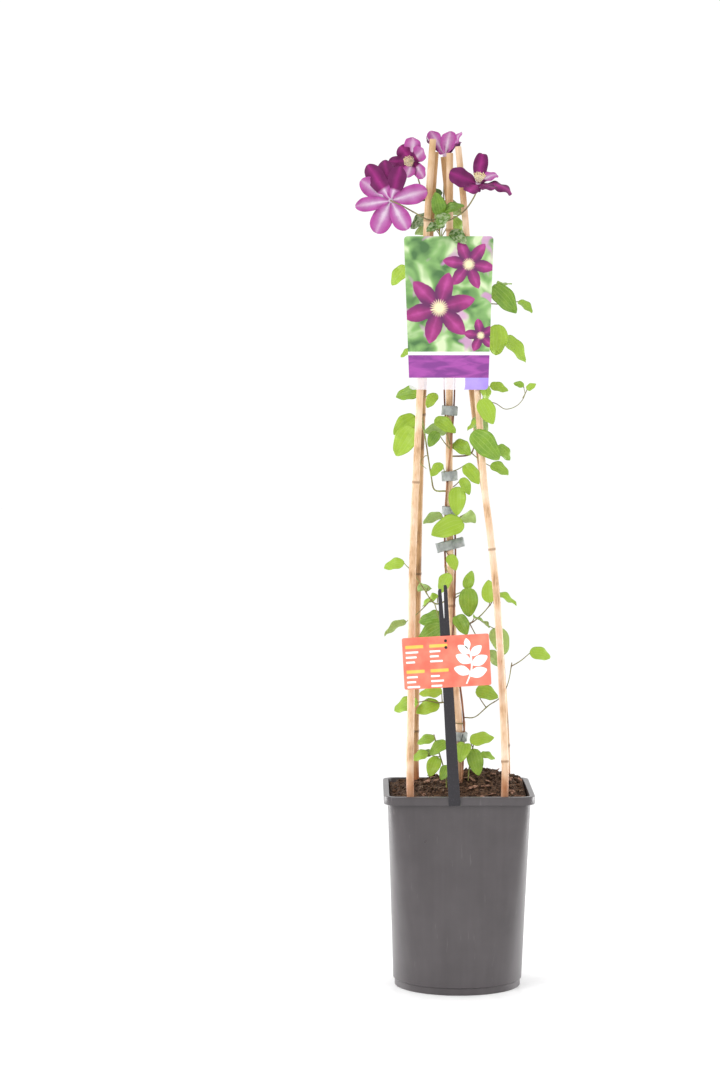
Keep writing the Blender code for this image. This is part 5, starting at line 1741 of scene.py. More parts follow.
def twining_line(cane: Sequence[Vector], start_turn: float) -> list[Vector]:
    """Return the line of a stem that twines round the centre cane.

    Args:
        cane: The cane's line.
        start_turn: The stem's angle round the cane at the height TWINE_LEVEL.

    Returns:
        The line, rising.
    """
    line = []
    height = STEM_ROOT
    while height <= STEM_TOP:
        turn = start_turn + 2 * math.pi * (height - TWINE_LEVEL) / TWINE_PITCH
        below = min(1.0, max(0.0, (STEM_ROOT_TOP - height) / (STEM_ROOT_TOP - SOIL_EDGE)))
        line.append(line_at_height(cane, height) + level(turn) * (STEM_RING + STEM_ROOT_SPREAD * below))
        height += STEM_STEP
    return line


def stem_lines(cane: Sequence[Vector]) -> dict[str, StemLine]:
    """Return the lines of the two twining stems and the shoots.

    Args:
        cane: The centre cane's line.

    Returns:
        Each stem's line by its name.
    """
    stems = {}
    for name, start_turn in (("vine_right", 0.0), ("vine_left", math.pi)):
        line = twining_line(cane, start_turn)
        stems[name] = StemLine(line, taper(line, STEM_RADIUS, STEM_RADIUS * 0.7), [])
    for shoot in SHOOTS:
        route = millimetres(shoot.route)
        if shoot.carrier:
            route.insert(0, seat_on(stems[shoot.carrier], route[0]))
        line = smooth_line(route, SHOOT_STEP)
        tendrils = []
        for points in shoot.tendrils:
            bends = millimetres(points)
            tendrils.append(smooth_line([nearest_on([line], bends[0]), *bends], TENDRIL_STEP))
        stems[shoot.name] = StemLine(line, taper(line, shoot.radius * MM, shoot.tip_radius * MM), tendrils)
    return stems


@dataclass
class LeafyStem:
    """A stem with its knuckles, stalks, veined leaves and tendrils."""

    name: str
    stem: StemLine
    sides: int = 10
    step: float = 4 * MM
    fine_step: float = 2.5 * MM
    uneven: float = 0.14
    knuckle: float = 0.35
    knuckle_reach: float = 3 * MM
    stalk_sides: int = 7
    tendril_sides: int = 6
    sag: float = 0.05

    def node_points(self) -> KDTree:
        """Sort the points of the model's node, for finding the nearest.

        Returns:
            The points.
        """
        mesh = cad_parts[self.name].data
        tree = KDTree(len(mesh.vertices))
        for vert in mesh.vertices:
            tree.insert(vert.co, vert.index)
        tree.balance()
        return tree

    def leaves(self) -> list[tuple[Blade, list[Vector]]]:
        """Find the leaves where the model placed them: each is the try whose points lie on the node's.

        Returns:
            Each leaf's blade and its stalk's two ends.
        """
        node = self.node_points()
        found = []
        for index, leaf in enumerate(LEAVES[self.name]):
            best, off = None, SAME_PLACE
            for place in leaf_tries(self.name, index, leaf):
                form, arm = leaf_blade(self.name, index, place, [self.stem.line, *self.stem.tendrils])
                spots = [form.at(across, t, form.rib(t), 0)
                         for across, t in ((0, 1), (1, 0.5), (-1, 0.5), (0, 0.5))]
                furthest = max(node.find(spot)[2] for spot in spots)
                if furthest < off:
                    best, off = (form, arm), furthest
            if best:
                found.append(best)
            else:
                log.warning("%s: leaf %d isn't on the node", self.name, index)
        return found

    def radius_near(self, place: Vector) -> float:
        """Return the stem's radius near a place."""
        return min(zip(self.stem.line, self.stem.radii), key=lambda knot: (knot[0] - place).length_squared)[1]

    def build(self) -> None:
        """Make the stem and all that it carries."""
        rng = random.Random(f"{SEED}-{self.name}-dress")
        # The two twining stems are old and woody, and the shoots are green.
        bark = BARK if self.name.startswith("vine") else GREEN_STEM
        skin = Skin(f"{self.name}_foliage", LEAF, bark, GREEN_STEM)
        line = smooth_line(self.stem.line, self.step)
        radii = [self.radius_near(place) * (1 + self.uneven * noise.noise(place * per_mm(7)))
                 for place in line]
        leaves = self.leaves()
        for _, (root, _) in leaves:
            nearness = [math.exp(-((place - root).length / self.knuckle_reach) ** 2) for place in line]
            radii = [radius * (1 + self.knuckle * near) for radius, near in zip(radii, nearness)]
        skin.tube(line, radii, self.sides, bark)
        for curl in self.stem.tendrils:
            curve = smooth_line(curl, self.fine_step)
            skin.tube(curve, taper(curve, 0.7 * MM, 0.45 * MM), self.tendril_sides, GREEN_STEM)
        for form, arm in leaves:
            self.add_leaf(skin, form, arm, rng)
        skin.thing(self.name)

    def add_leaf(self, skin: Skin, form: Blade, arm: list[Vector], rng: random.Random) -> None:
        """Add a leaf's blade and its bowed stalk. The leaves of the top tuft are older and mottled.

        Args:
            skin: The skin that takes them.
            form: The blade.
            arm: The stalk's two ends.
            rng: Draws the age and the mottle.
        """
        if "top" in self.name:
            form.paint["tint"] += rng.uniform(0.1, 0.6)
            form.paint["mottle"] = rng.choice((0.0, 0.95, 1.0))
        form.add_to(skin, LEAF)
        root, tip = arm
        bow = Vector((0, 0, -self.sag * (tip - root).length))
        line = smooth_line([root, (root + tip) / 2 + bow, tip], self.fine_step)
        skin.tube(line, taper(line, 0.8 * MM, 0.6 * MM), self.stalk_sides, GREEN_STEM)


@dataclass
class OpenBloom:
    """An open bloom: veined tepals, a tuft of stamens and a downy stalk.

    The core's profile gives its heights in mm and its radius as a share of CORE_RADIUS.
    Angles are in degrees.
    """

    bloom: Bloom
    stagger: float = 5
    tepal_seat: float = 1.5 * MM
    tepal_fold: float = -0.12
    tepal_wave: float = 0.035
    turned_share: float = 0.3
    core_profile: tuple[tuple[float, float], ...] = (
        (-3.0, 0.45), (-2.4, 0.8), (-1.0, 1.0), (1.6, 0.95), (2.8, 0.6), (3.0, 0.3))
    core_sides: int = 16
    stamens: int = 44
    golden_angle: float = 137.5
    tuft_radius: float = 2.2 * MM
    tuft_lean: tuple[float, float] = (6, 24)
    full_spread: float = 70
    anther: float = 2.6 * MM
    anther_profile: tuple[tuple[float, float], ...] = ((0.0, 0.3), (0.3, 0.55), (0.8, 0.5), (1.0, 0.2))
    stalk_sides: int = 10
    stalk_step: float = 3 * MM
    hairs: int = 260

    @property
    def middle(self) -> Matrix:
        """The bloom's frame: +Y along its axis, at its centre."""
        return frame_along(Vector(self.bloom.centre) * MM, Vector(self.bloom.axis), Vector((0.05, 0.1, 1)))

    def tepals(self) -> list[Blade]:
        """Place the tepals where the model has them, every second one further out.

        Returns:
            The tepals.
        """
        bloom = self.bloom
        rng = random.Random(f"{SEED}-{bloom.name}")
        shades = random.Random(f"{SEED}-{bloom.name}-shades")
        axis = Vector((0, 1, 0))
        blades = []
        for index, tepal in enumerate(bloom.tepals):
            turn = math.radians(tepal.turn)
            radial = Vector((math.cos(turn), 0, math.sin(turn)))
            spread = math.radians(bloom.spread + tepal.lean + (self.stagger if index % 2 else -self.stagger))
            outward = axis * math.cos(spread) + radial * math.sin(spread)
            inner = axis * math.sin(spread) - radial * math.cos(spread)
            roll = Matrix.Rotation(math.radians(tepal.roll), 4, "Y")
            place = self.middle @ frame_along(outward * self.tepal_seat, outward, inner) @ roll
            length = tepal.length * MM
            blades.append(Blade(place, length, tepal.width * MM, tepal_width, waves=5, fold=self.tepal_fold,
                                arch=math.radians(tepal.curl), late=2, wave=self.tepal_wave * length,
                                phase=rng.uniform(0, math.pi), paint={"tint": shades.uniform(0.0, 1.0)},
                                columns=16, rows=30, turned=self.turned_share if tepal.roll > 90 else 0.0))
        return blades

    def stalk_line(self, stems: dict[str, StemLine]) -> list[Vector]:
        """Return the stalk's line, from behind the core to its carrier.

        Args:
            stems: The stems by name.

        Returns:
            The line.
        """
        start = self.middle @ Vector((0, -CORE_HALF - GAP, 0))
        behind = self.middle @ Vector((0, -CORE_HALF - 6 * MM, 0))
        bends = millimetres(self.bloom.stalk_route)
        return smooth_line([start, behind, *bends, seat_on(stems[self.bloom.carrier], bends[-1])], SHOOT_STEP)

    def build(self, stems: dict[str, StemLine]) -> None:
        """Make the bloom.

        Args:
            stems: The stems by name, of which one carries it.
        """
        name = self.bloom.name
        petals = Skin(f"{name}_petals", TEPAL)
        for blade in self.tepals():
            blade.add_to(petals, TEPAL)
        self.add_core(petals)
        petals.thing(f"{name}_tepals")
        tuft = Skin(f"{name}_tuft", STAMEN, ANTHER)
        self.add_stamens(tuft)
        tuft.thing(f"{name}_stamens")
        stalk = Skin(f"{name}_downy_stalk", STALK)
        line = smooth_line(self.stalk_line(stems), self.stalk_step)
        radii = taper(line, 1.0 * MM, 0.9 * MM)
        stalk.tube(line, radii, self.stalk_sides)
        self.add_down(stalk, line, radii)
        stalk.thing(f"{name}_stalk")

    def add_core(self, skin: Skin) -> None:
        """Add the receptacle that the tepals grow from, as pale as their ribs.

        Args:
            skin: The skin that takes it.
        """
        rings = []
        for height, share in self.core_profile:
            rings.append([self.middle @ Vector((math.cos(turn) * CORE_RADIUS * share, height * MM,
                                                -math.sin(turn) * CORE_RADIUS * share))
                          for turn in full_turn(self.core_sides)])
        paint = {"side": Facing.UNDER.value, "across": 0.0, "along": 0.0}
        skin.loft(rings, TEPAL, [paint] * len(rings))

    def add_stamens(self, skin: Skin) -> None:
        """Add filaments in a spiral, each with its anther.

        Args:
            skin: The skin that takes them.
        """
        rng = random.Random(f"{SEED}-{self.bloom.name}-tuft")
        middle = self.middle
        for index in range(self.stamens):
            share = math.sqrt((index + 0.5) / self.stamens)
            upright, outermost = self.tuft_lean
            lean = math.radians(upright + outermost * share) * min(1.0, self.bloom.spread / self.full_spread)
            turn = math.radians(self.golden_angle) * index
            radial = Vector((math.cos(turn), 0, math.sin(turn)))
            aim = radial * math.sin(lean) + Vector((0, math.cos(lean), 0))
            length = self.bloom.stamens * MM * rng.uniform(0.8, 1.05)
            foot = middle @ (radial * self.tuft_radius * share + Vector((0, CORE_HALF, 0)))
            bow = middle.to_3x3() @ radial * rng.uniform(0.0, 1.2) * MM * share
            tip = foot + middle.to_3x3() @ aim * length
            line = smooth_line([foot, (foot + tip) / 2 + bow, tip], 3 * MM)
            skin.tube(line, taper(line, 0.35 * MM, 0.28 * MM), 5, STAMEN)
            end = tip + (tip - line[-2]).normalized() * self.anther
            skin.tube([tip.lerp(end, at) for at, _ in self.anther_profile],
                      [radius * MM for _, radius in self.anther_profile], 6, ANTHER)

    def add_down(self, skin: Skin, line: list[Vector], radii: list[float]) -> None:
        """Add short hairs that stand out from the stalk.

        Args:
            skin: The skin that takes them.
            line: The stalk's line.
            radii: The stalk's radius at each of its points.
        """
        rng = random.Random(f"{SEED}-{self.bloom.name}-down")
        for _ in range(self.hairs):
            index = rng.randrange(1, len(line) - 1)
            ahead = (line[index + 1] - line[index - 1]).normalized()
            out = ahead.orthogonal().normalized()
            out.rotate(Matrix.Rotation(rng.uniform(0, 2 * math.pi), 3, ahead))
            foot = line[index].lerp(line[index + 1], rng.random()) + out * radii[index] * 0.8
            tip = foot + (out + ahead * rng.uniform(-0.4, 0.4)) * rng.uniform(0.6, 1.1) * MM
            skin.tube([foot, tip], [0.07 * MM, 0.02 * MM], 3)


def prism(skin: Skin, outline: Sequence[Vector], low: float, high: float, place: Matrix,
          finish: Finish | None = None, chamfer: float = 0.0) -> None:
    """Add a flat plate with softened edges.

    Args:
        skin: The skin that takes it.
        outline: The plate's corners in its own X and Y, anticlockwise.
        low: The height of its back along its own Z.
        high: The height of its front.
        place: The plate's frame.
        finish: The finish.
        chamfer: How far its edges are cut back.
    """
    drawn = []
    for index, corner in enumerate(outline):
        before = (corner - outline[index - 1]).normalized()
        after = (outline[(index + 1) % len(outline)] - corner).normalized()
        drawn.append(corner + (before + after).orthogonal().normalized() * chamfer)
    levels = [(drawn, low), (outline, low + chamfer), (outline, high - chamfer), (drawn, high)]
    if not chamfer:
        levels = [(outline, low), (outline, high)]
    skin.loft([[place @ Vector((*point, height)) for point in ring] for ring, height in levels], finish)


def box_outline(left: float, low: float, width: float, height: float) -> list[Vector]:
    """Return a rectangle's corners, anticlockwise from its lower left."""
    return [Vector((left + width * x, low + height * y)) for x, y in ((0, 0), (1, 0), (1, 1), (0, 1))]


def rounded_outline(corners: Sequence[Vector], radius: float, steps: int = 8) -> list[Vector]:
    """Return an outline with each corner rounded by a quadratic arc.

    Args:
        corners: The corners.
        radius: How far from its corner each arc starts.
        steps: The number of an arc's steps.

    Returns:
        The points.
    """
    outline = []
    for index, corner in enumerate(corners):
        before = (corners[index - 1] - corner).normalized() * radius
        after = (corners[(index + 1) % len(corners)] - corner).normalized() * radius
        for t in (step / steps for step in range(steps + 1)):
            outline.append(corner + before * (1 - t) ** 2 + after * t ** 2)
    return outline


@dataclass
class ForkedStake:
    """The charcoal stake that hooks over the rim, and the care card that hangs on its pegs.

    The card's bars are columns of blocks, each a head over three lines, whose widths, heights
    and drops are in mm. Each sprig leaf is its place in mm on the card, its heading in degrees
    and its length in mm.
    """

    tilt: float = math.radians(3.3)
    foot: Vector = field(default_factory=lambda: Vector((-7 * MM, -(RIM_HALF + 2.1 * MM), 260 * MM)))
    length: float = 296 * MM
    foot_width: float = 15.6 * MM
    top_width: float = 12.6 * MM
    thick: float = 3 * MM
    fork: float = 44 * MM
    slot: float = 3.4 * MM
    slot_foot: float = 0.8 * MM
    left_tine_drop: float = 5 * MM
    chamfer: float = 0.35 * MM
    hook_reach: float = 11.5 * MM
    hook_thick: float = 2.6 * MM
    hook_drop: float = 8 * MM
    hook_over_rim: float = 0.9 * MM
    hook_chamfer: float = 0.3 * MM
    peg_radius: float = 1.9 * MM
    peg_heights: tuple[float, float] = (213 * MM, 222 * MM)
    peg_reach: float = 2.6 * MM
    card_width: float = 116 * MM
    card_height: float = 69 * MM
    card_thick: float = 0.8 * MM
    card_corner: float = 3 * MM
    card_chamfer: float = 0.12 * MM
    card_centre: float = 194 * MM
    ink: float = 0.12 * MM
    bar_columns: tuple[float, float] = (-54 * MM, -22 * MM)
    bar_blocks: tuple[float, float] = (24 * MM, -9 * MM)
    bar_head: tuple[float, float] = (24.0, 4.2)
    bar_line: tuple[float, float] = (17.0, 2.6)
    bar_first_drop: float = 8.0
    bar_drop: float = 6.6
    bar_shorter: float = 2.5
    bar_corner: float = 0.9 * MM
    sprig_stem: tuple[Point, ...] = ((25, -31, 0), (32, -14, 0), (33, 2, 0), (30, 16, 0))
    sprig_half: float = 1.1 * MM
    sprig_leaves: tuple[tuple[float, float, float, float], ...] = (
        (29, -20, 16, 25), (31, -17, 160, 23), (33, -6, 26, 24), (33, -3, 152, 23), (32, 6, 40, 20),
        (31, 9, 142, 19), (30, 15, 100, 15))
    sharp: float = 30

    def frame(self) -> Matrix:
        """Stand the stake on its foot.

        Returns:
            Its frame: X across, Y up along it, Z to the front.
        """
        upright = Matrix.Rotation(math.radians(90), 4, "X")
        lean = Matrix.Rotation(-self.tilt, 4, "Y")
        return Matrix.Translation(self.foot) @ lean @ upright

    def build_stake(self) -> None:
        """Make the strip with its fork, pegs and rim hook."""
        place = self.frame()
        foot, tip = self.foot_width / 2, self.top_width / 2
        slot, slot_foot = self.slot / 2, self.slot_foot / 2
        fork = self.length - self.fork
        left_top = self.length - self.left_tine_drop
        outline = [(-foot, 0), (foot, 0), (tip, self.length - 3 * MM), (tip - 1 * MM, self.length),
                   (slot, self.length), (slot_foot, fork), (-slot_foot, fork), (-slot, left_top),
                   (-tip + 1 * MM, left_top), (-tip, left_top - 3 * MM)]
        skin = Skin("forked_stake", STAKE_PLASTIC)
        corners = [Vector(corner) for corner in outline]
        prism(skin, corners, -self.thick / 2, self.thick / 2, place, None, self.chamfer)
        for height in self.peg_heights:
            low = place @ Vector((0, height, self.thick / 2 - 0.5 * MM))
            high = place @ Vector((0, height, self.thick / 2 + self.peg_reach))
            radii = [self.peg_radius * share for share in (1, 1, 0.75)]
            skin.tube([low, low.lerp(high, 0.8), high], radii, 20)
        self.add_hook(skin, place)
        skin.thing("label_stake", sharp=self.sharp)

    def add_hook(self, skin: Skin, place: Matrix) -> None:
        """Add the bridge over the rim and the leg behind it, as one bent strip.

        Args:
            skin: The skin that takes it.
            place: The stake's frame.
        """
        top = POT_HEIGHT - self.foot.z + self.hook_over_rim
        high, wide = top + self.hook_thick, self.foot_width * 0.4
        back = -self.hook_reach - self.hook_thick / 2
        front = back + self.hook_thick
        foot = top - self.hook_drop
        profile = [(front, top), (front, foot), (back, foot), (back, high - 1 * MM), (back + 1 * MM, high),
                   (0, high), (0, top)]
        # The profile's X is the stake's Z, and the strip's width runs along the stake's X.
        turn = Matrix(((0, 0, -1, 0), (0, 1, 0, 0), (1, 0, 0, 0), (0, 0, 0, 1)))
        corners = [Vector(corner) for corner in profile]
        prism(skin, corners, -wide, wide, place @ turn, None, self.hook_chamfer)

    def build_card(self) -> None:
        """Make the card, with a plain sprig and bars in place of its words."""
        place = self.frame() @ Matrix.Translation((0, self.card_centre, self.thick / 2 + GAP))
        skin = Skin("printed_care_card", CARD_INK, WHITE_INK, YELLOW_INK)
        corners = box_outline(-self.card_width / 2, -self.card_height / 2, self.card_width, self.card_height)
        prism(skin, rounded_outline(corners, self.card_corner), 0.0, self.card_thick, place, CARD_INK,
              self.card_chamfer)
        face = place @ Matrix.Translation((0, 0, self.card_thick - self.ink / 2))
        self.add_bars(skin, face)
        self.add_sprig(skin, face)
        skin.thing("info_card", sharp=self.sharp)

    def add_bars(self, skin: Skin, face: Matrix) -> None:
        """Print two columns of bars: yellow heads, each over short white lines.

        Args:
            skin: The skin that takes them.
            face: The frame of the card's face.
        """
        for column, left in enumerate(self.bar_columns):
            for block, top in enumerate(self.bar_blocks):
                # Each bar is its drop below the block's top, its width and its height in mm, and its ink.
                bars = [(0.0, *self.bar_head, YELLOW_INK)]
                longest, high = self.bar_line
                for row in range(3):
                    width = longest - self.bar_shorter * ((row + column + block) % 3)
                    bars.append((self.bar_first_drop + self.bar_drop * row, width, high, WHITE_INK))
                for drop, width, height, ink in bars:
                    corners = box_outline(left, top - (drop + height) * MM, width * MM, height * MM)
                    prism(skin, rounded_outline(corners, self.bar_corner, 3), 0.0, self.ink, face, ink)

    def add_sprig(self, skin: Skin, face: Matrix) -> None:
        """Print a white sprig: a bent stem with paired leaves and one at its end.

        Args:
            skin: The skin that takes it.
            face: The frame of the card's face.
        """
        stem = [point.xy for point in smooth_line(millimetres(self.sprig_stem), 2 * MM)]
        half = Vector((self.sprig_half, 0))
        edges = [point - half for point in reversed(stem)] + [point + half for point in stem]
        # The stem's ink is the lower, so that the leaves' faces don't lie on it.
        prism(skin, edges, 0.0, self.ink * 0.75, face, WHITE_INK)
        for x, y, heading, length in self.sprig_leaves:
            ahead = direction(heading, 0).xy
            outline = []
            for angle in full_turn(24):
                along = (1 - math.cos(angle)) / 2
                wide = math.sin(angle) * 0.24 * (0.7 + 0.5 * math.sin(math.pi * along))
                place = Vector((x, y)) + (ahead * along + Vector((ahead.y, -ahead.x)) * wide) * length
                outline.append(place * MM)
            prism(skin, outline, 0.0, self.ink, face, WHITE_INK)

    def build(self) -> None:
        """Make the stake and its card."""
        self.build_stake()
        self.build_card()


@dataclass
class PlantLabel:
    """The printed picture label that leans on the two front canes.

    The zones are printed one below the other, and each ends at its drop in mm below the top.
    The last is clear film, with a lilac patch from a share of the width on.
    """

    cane: Sequence[Vector]
    top: float = 1021 * MM
    height: float = 207 * MM
    top_width: float = 121 * MM
    foot_width: float = 106 * MM
    thick: float = 0.7 * MM
    corner: float = 5 * MM
    corner_steps: int = 6
    centre_x: float = -14 * MM
    picture: float = 156.0
    white: float = 160.5
    band: float = 191.0
    patch_from: float = 0.705
    bow: float = 0.35 * MM
    joint_swell: float = 1.12
    sharp: float = 30

    def frame(self) -> Matrix:
        """Lean the label on the front canes.

        Returns:
            Its frame: X across, Y up from its top edge, Z to the front.
        """
        top = line_at_height(self.cane, self.top)
        foot = line_at_height(self.cane, self.top - self.height)
        reach = max(cane.foot_radius for cane in CANES) * MM * self.joint_swell + GAP + self.thick / 2
        lean = math.atan2(top.y - foot.y, top.z - foot.z)
        upright = Matrix.Rotation(math.radians(90) - lean, 4, "X")
        return Matrix.Translation((self.centre_x, top.y - reach, self.top)) @ upright

    def half_width(self, drop: float) -> float:
        """Return half the label's width, less its round corners.

        Args:
            drop: The distance below the top edge.

        Returns:
            Half the width.
        """
        half = (self.top_width + (self.foot_width - self.top_width) * drop / self.height) / 2
        near = min(drop, self.height - drop)
        if near < self.corner:
            half -= self.corner - math.sqrt(max(0.0, self.corner ** 2 - (self.corner - near) ** 2))
        return half

    def finish_at(self, drop: float, share: float) -> Finish:
        """Return the finish of a place on the front.

        Args:
            drop: The distance in mm below the top edge.
            share: The share of the width from the left.

        Returns:
            The finish.
        """
        zones = ((self.picture, LABEL_PICTURE), (self.white, LABEL_WHITE), (self.band, LABEL_BAND))
        for zone_end, finish in zones:
            if drop < zone_end:
                return finish
        return LABEL_LILAC if share > self.patch_from else LABEL_FILM

    def drops(self) -> list[float]:
        """List the sheet's rows, with the zones' ends among them.

        Returns:
            Their distances in mm below the top edge.
        """
        height = self.height / MM
        rounds = [self.corner / MM * (1 - math.cos(math.pi / 2 * step / self.corner_steps))
                  for step in range(self.corner_steps + 1)]
        return sorted({0.0, *rounds, *[10.0 * row for row in range(1, 16)], self.picture, self.white,
                       *[self.white + 7.6 * row for row in range(1, 4)], self.band,
                       *[height - drop for drop in rounds], height})

    def add_sheet(self, skin: Skin, rise: float, drops: list[float], shares: list[float]) -> Grid:
        """Add the points of one side of the sheet.

        Args:
            skin: The skin that takes them.
            rise: How far the side lies in front of the sheet's middle.
            drops: The rows in mm below the top edge.
            shares: The columns as shares of the width.

        Returns:
            The points' numbers, by row and column.
        """
        place = self.frame()
        grid = []
        for drop in drops:
            half = self.half_width(drop * MM)
            sag = self.bow * math.sin(math.pi * drop * MM / self.height)
            row = []
            for share in shares:
                x = (2 * share - 1) * half
                out = rise + sag * math.cos(math.pi * (share - 0.5))
                paint = {"print_x": x / MM, "print_y": -drop}
                row.append(skin.point(place @ Vector((x, -drop * MM, out)), paint))
            grid.append(row)
        return grid

    def build(self) -> None:
        """Make the label's sheet in rows, so that each printed zone has its own faces."""
        drops = self.drops()
        shares = sorted({*[step / 14 for step in range(15)], self.patch_from})
        skin = Skin("printed_plant_label", LABEL_PICTURE, LABEL_WHITE, LABEL_BAND, LABEL_FILM, LABEL_LILAC)
        front = self.add_sheet(skin, self.thick / 2, drops, shares)
        back = self.add_sheet(skin, -self.thick / 2, drops, shares)
        for r, (low, high) in enumerate(zip(drops, drops[1:])):
            for c, (left, right) in enumerate(zip(shares, shares[1:])):
                finish = self.finish_at((low + high) / 2, (left + right) / 2)
                behind = finish if finish in (LABEL_FILM, LABEL_LILAC) else LABEL_WHITE
                skin.face((front[r][c], front[r + 1][c], front[r + 1][c + 1], front[r][c + 1]), finish)
                skin.face((back[r][c], back[r][c + 1], back[r + 1][c + 1], back[r + 1][c]), behind)
        skin.join_rims(front, back, LABEL_WHITE)
        skin.thing("plant_label", sharp=self.sharp)


@dataclass
class TapeTie:
    """A band of stretch tape round the centre cane and its stems, with its free end.

    Its height, half-width across X and band width are in mm, and its tilt is in degrees. The
    free end runs from an angle on in steps of end_turn degrees, and each step lifts it more.
    """

    name: str
    height: float
    half_width: float
    tilt: float
    band: float
    points: int = 48
    rows: int = 8
    thick: float = 0.6 * MM
    crease: float = 0.25 * MM
    edge_wave: float = 0.5 * MM
    end_from: float = -80
    end_turn: float = 11
    end_steps: int = 7
    end_lift: float = 0.12 * MM
    staple: tuple[Point, ...] = ((3, -10.2, -4), (3, -11.0, -4), (4.6, -11.0, 4), (4.6, -10.2, 4))
    staple_radius: float = 0.5 * MM

    @property
    def depth(self) -> float:
        """Half the band's depth. The loose tie is drawn flat across the stems."""
        return TIE_LOOSE_DEPTH if self.half_width * MM > TIE_INNER + GAP else TIE_INNER

    def band_rings(self, place: Matrix) -> list[list[Vector]]:
        """Return the band's rings, up its inner face and down its outer face.

        Args:
            place: The band's frame.

        Returns:
            The rings, with creases and waved edges.
        """
        phase = random.Random(f"{SEED}-{self.name}-tape").uniform(0, 2 * math.pi)
        profile = [(0.0, row / self.rows - 0.5) for row in range(self.rows + 1)]
        profile += [(self.thick, 0.5 - row / self.rows) for row in range(self.rows + 1)]
        rings = []
        for out, share in profile:
            ring = []
            for turn in full_turn(self.points):
                crease = self.crease * math.sin(9 * turn + 5 * share + phase) * math.sin(3 * turn + 2 * share)
                x = math.cos(turn) * (self.half_width * MM + out + crease)
                y = math.sin(turn) * (self.depth + out + crease)
                z = share * (self.band * MM + self.edge_wave * math.sin(4 * turn + phase))
                ring.append(place @ Vector((x, y, z)))
            rings.append(ring)
        return rings

    def build(self, cane: Sequence[Vector]) -> None:
        """Make the band and its free end, and a staple on the lowest one.

        Args:
            cane: The centre cane's line.
        """
        lean = Matrix.Rotation(math.radians(self.tilt), 4, "Y")
        place = Matrix.Translation(line_at_height(cane, self.height * MM)) @ lean
        rings = self.band_rings(place)
        skin = Skin(f"{self.name}_band", TAPE, STAPLE_STEEL)
        skin.loft([*rings, rings[0]], TAPE, capped=False)
        skin.merge_last_ring(self.points)
        self.add_free_end(skin, place)
        if self.name == "tape_tie_low":
            wire = smooth_line([place @ point for point in millimetres(self.staple)], 1 * MM)
            skin.tube(wire, [self.staple_radius] * len(wire), 8, STAPLE_STEEL)
        skin.thing(self.name)

    def add_free_end(self, skin: Skin, place: Matrix) -> None:
        """Add the tape's short free end, which lies over the band's right front.

        Args:
            skin: The skin that takes it.
            place: The band's frame.
        """
        half = Vector((0, 0, self.band * MM / 2 * 0.9))
        rings = []
        for step in range(self.end_steps):
            out = level(math.radians(self.end_from + self.end_turn * step))
            lift = self.thick * 1.1 + self.end_lift * step
            inner = Vector((out.x * (self.half_width * MM + lift), out.y * (self.depth + lift), 0))
            outer = inner + out * self.thick * 0.7
            corners = (inner - half, outer - half, outer + half, inner + half)
            rings.append([place @ corner for corner in corners])
        skin.loft(rings, TAPE)


@dataclass(frozen=True)
class SoftLight:
    """A square area light: its place in metres, its power in watts and its size in metres."""

    name: str
    place: Point
    power: float
    size: float


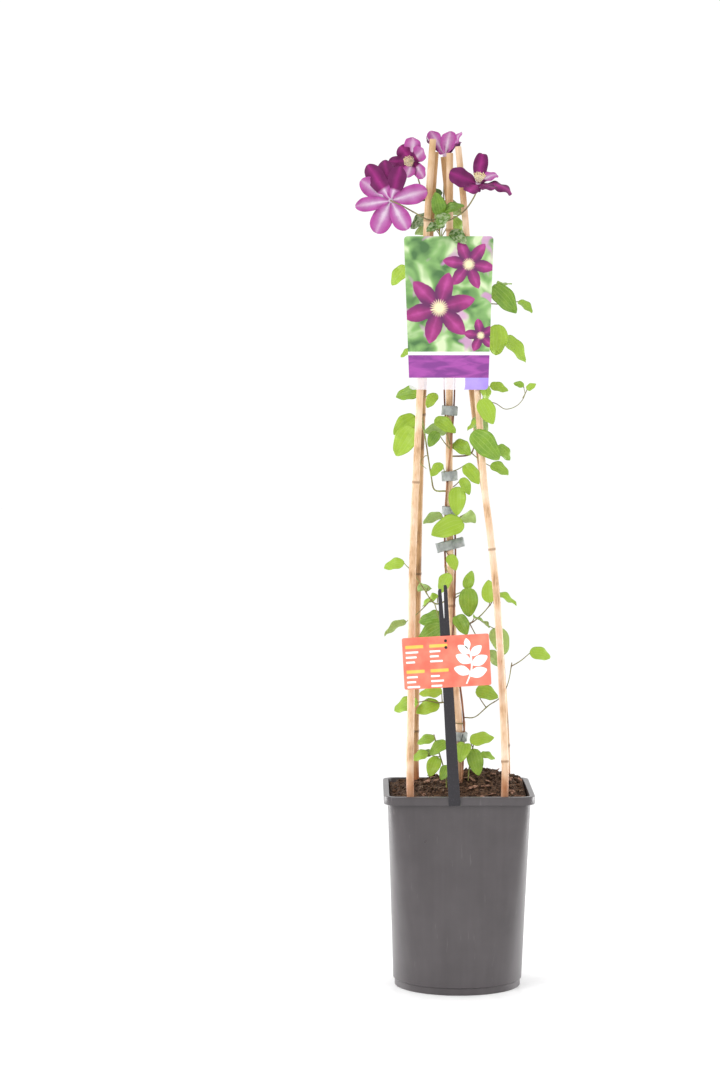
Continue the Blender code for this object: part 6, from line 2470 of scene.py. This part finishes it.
@dataclass
class Studio:
    """A pale floor, a white room and soft lights, with the camera where the photo's was."""

    floor_radius: float = 14.0
    floor_sides: int = 64
    camera_place: Point = (-0.1335, -4.1485, 0.8499)
    look_down: float = math.atan(0.0579)
    focal_pixels: float = 3049.0
    picture_height: float = 1080.0
    sensor: float = 36.0
    room: str = "#FFFFFF"
    room_strength: float = 1.04
    aim_height: float = 0.6
    lights: tuple[SoftLight, ...] = (
        SoftLight("key_light", (-2.4, -2.8, 2.6), 66, 2.2),
        SoftLight("fill_light", (3.2, -2.2, 1.8), 12, 2.4),
        SoftLight("left_edge_light", (-1.05, 0.5, 0.25), 11, 0.8),
        SoftLight("right_edge_light", (1.05, 0.5, 0.25), 11, 0.8))

    def build(self) -> None:
        """Make the floor, the room's light, the soft lights and the camera."""
        self.build_floor()
        self.build_light()
        data = bpy.data.cameras.new("camera")
        data.sensor_width = self.sensor
        data.lens = self.sensor * self.focal_pixels / self.picture_height
        data.clip_end = 60
        camera = bpy.data.objects.new("camera", data)
        camera.location = self.camera_place
        camera.rotation_euler = (math.pi / 2 - self.look_down, 0, 0)
        bpy.context.scene.collection.objects.link(camera)
        bpy.context.scene.camera = camera

    def build_floor(self) -> None:
        """Make the floor as a wide disc."""
        floor = bpy.data.meshes.new("floor")
        ring = [level(turn) * self.floor_radius for turn in full_turn(self.floor_sides)]
        floor.from_pydata(ring, [], [list(range(len(ring)))])
        floor.materials.append(STUDIO_PAPER.material())
        thing = bpy.data.objects.new("studio_floor", floor)
        bpy.context.scene.collection.objects.link(thing)

    def build_light(self) -> None:
        """Make the white room, two soft front lights and two low ones that edge the pot."""
        world = bpy.data.worlds.new("white_room")
        bpy.context.scene.world = world
        world.use_nodes = True
        tree = world.node_tree
        fill(tree, tree.nodes["Background"], {0: self.room, 1: self.room_strength})
        for soft in self.lights:
            data = bpy.data.lights.new(soft.name, "AREA")
            data.energy = soft.power
            data.size = soft.size
            light = bpy.data.objects.new(soft.name, data)
            light.location = soft.place
            light.visible_camera = False
            aim = Vector((0, 0, min(self.aim_height, soft.place[2]))) - Vector(soft.place)
            light.rotation_euler = aim.to_track_quat("-Z", "Y").to_euler()
            bpy.context.scene.collection.objects.link(light)
        bpy.context.scene.view_settings.view_transform = "Standard"


def main() -> None:
    """Build every piece of the plant."""
    logging.basicConfig(level=logging.INFO, format="%(message)s")
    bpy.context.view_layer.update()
    Studio().build()
    NurseryPot().build()
    PeatFill().build()
    lines = {cane.name: cane_line(cane) for cane in CANES}
    for cane in CANES:
        BambooCane(cane).build()
    for tie in TIES:
        TapeTie(*tie).build(lines["cane_centre"])
    ForkedStake().build()
    PlantLabel(lines["cane_front_left"]).build()
    stems = stem_lines(lines["cane_centre"])
    for name, stem in stems.items():
        LeafyStem(name, stem).build()
    for bloom in BLOOMS:
        OpenBloom(bloom).build(stems)


if __name__ == "__main__":
    main()
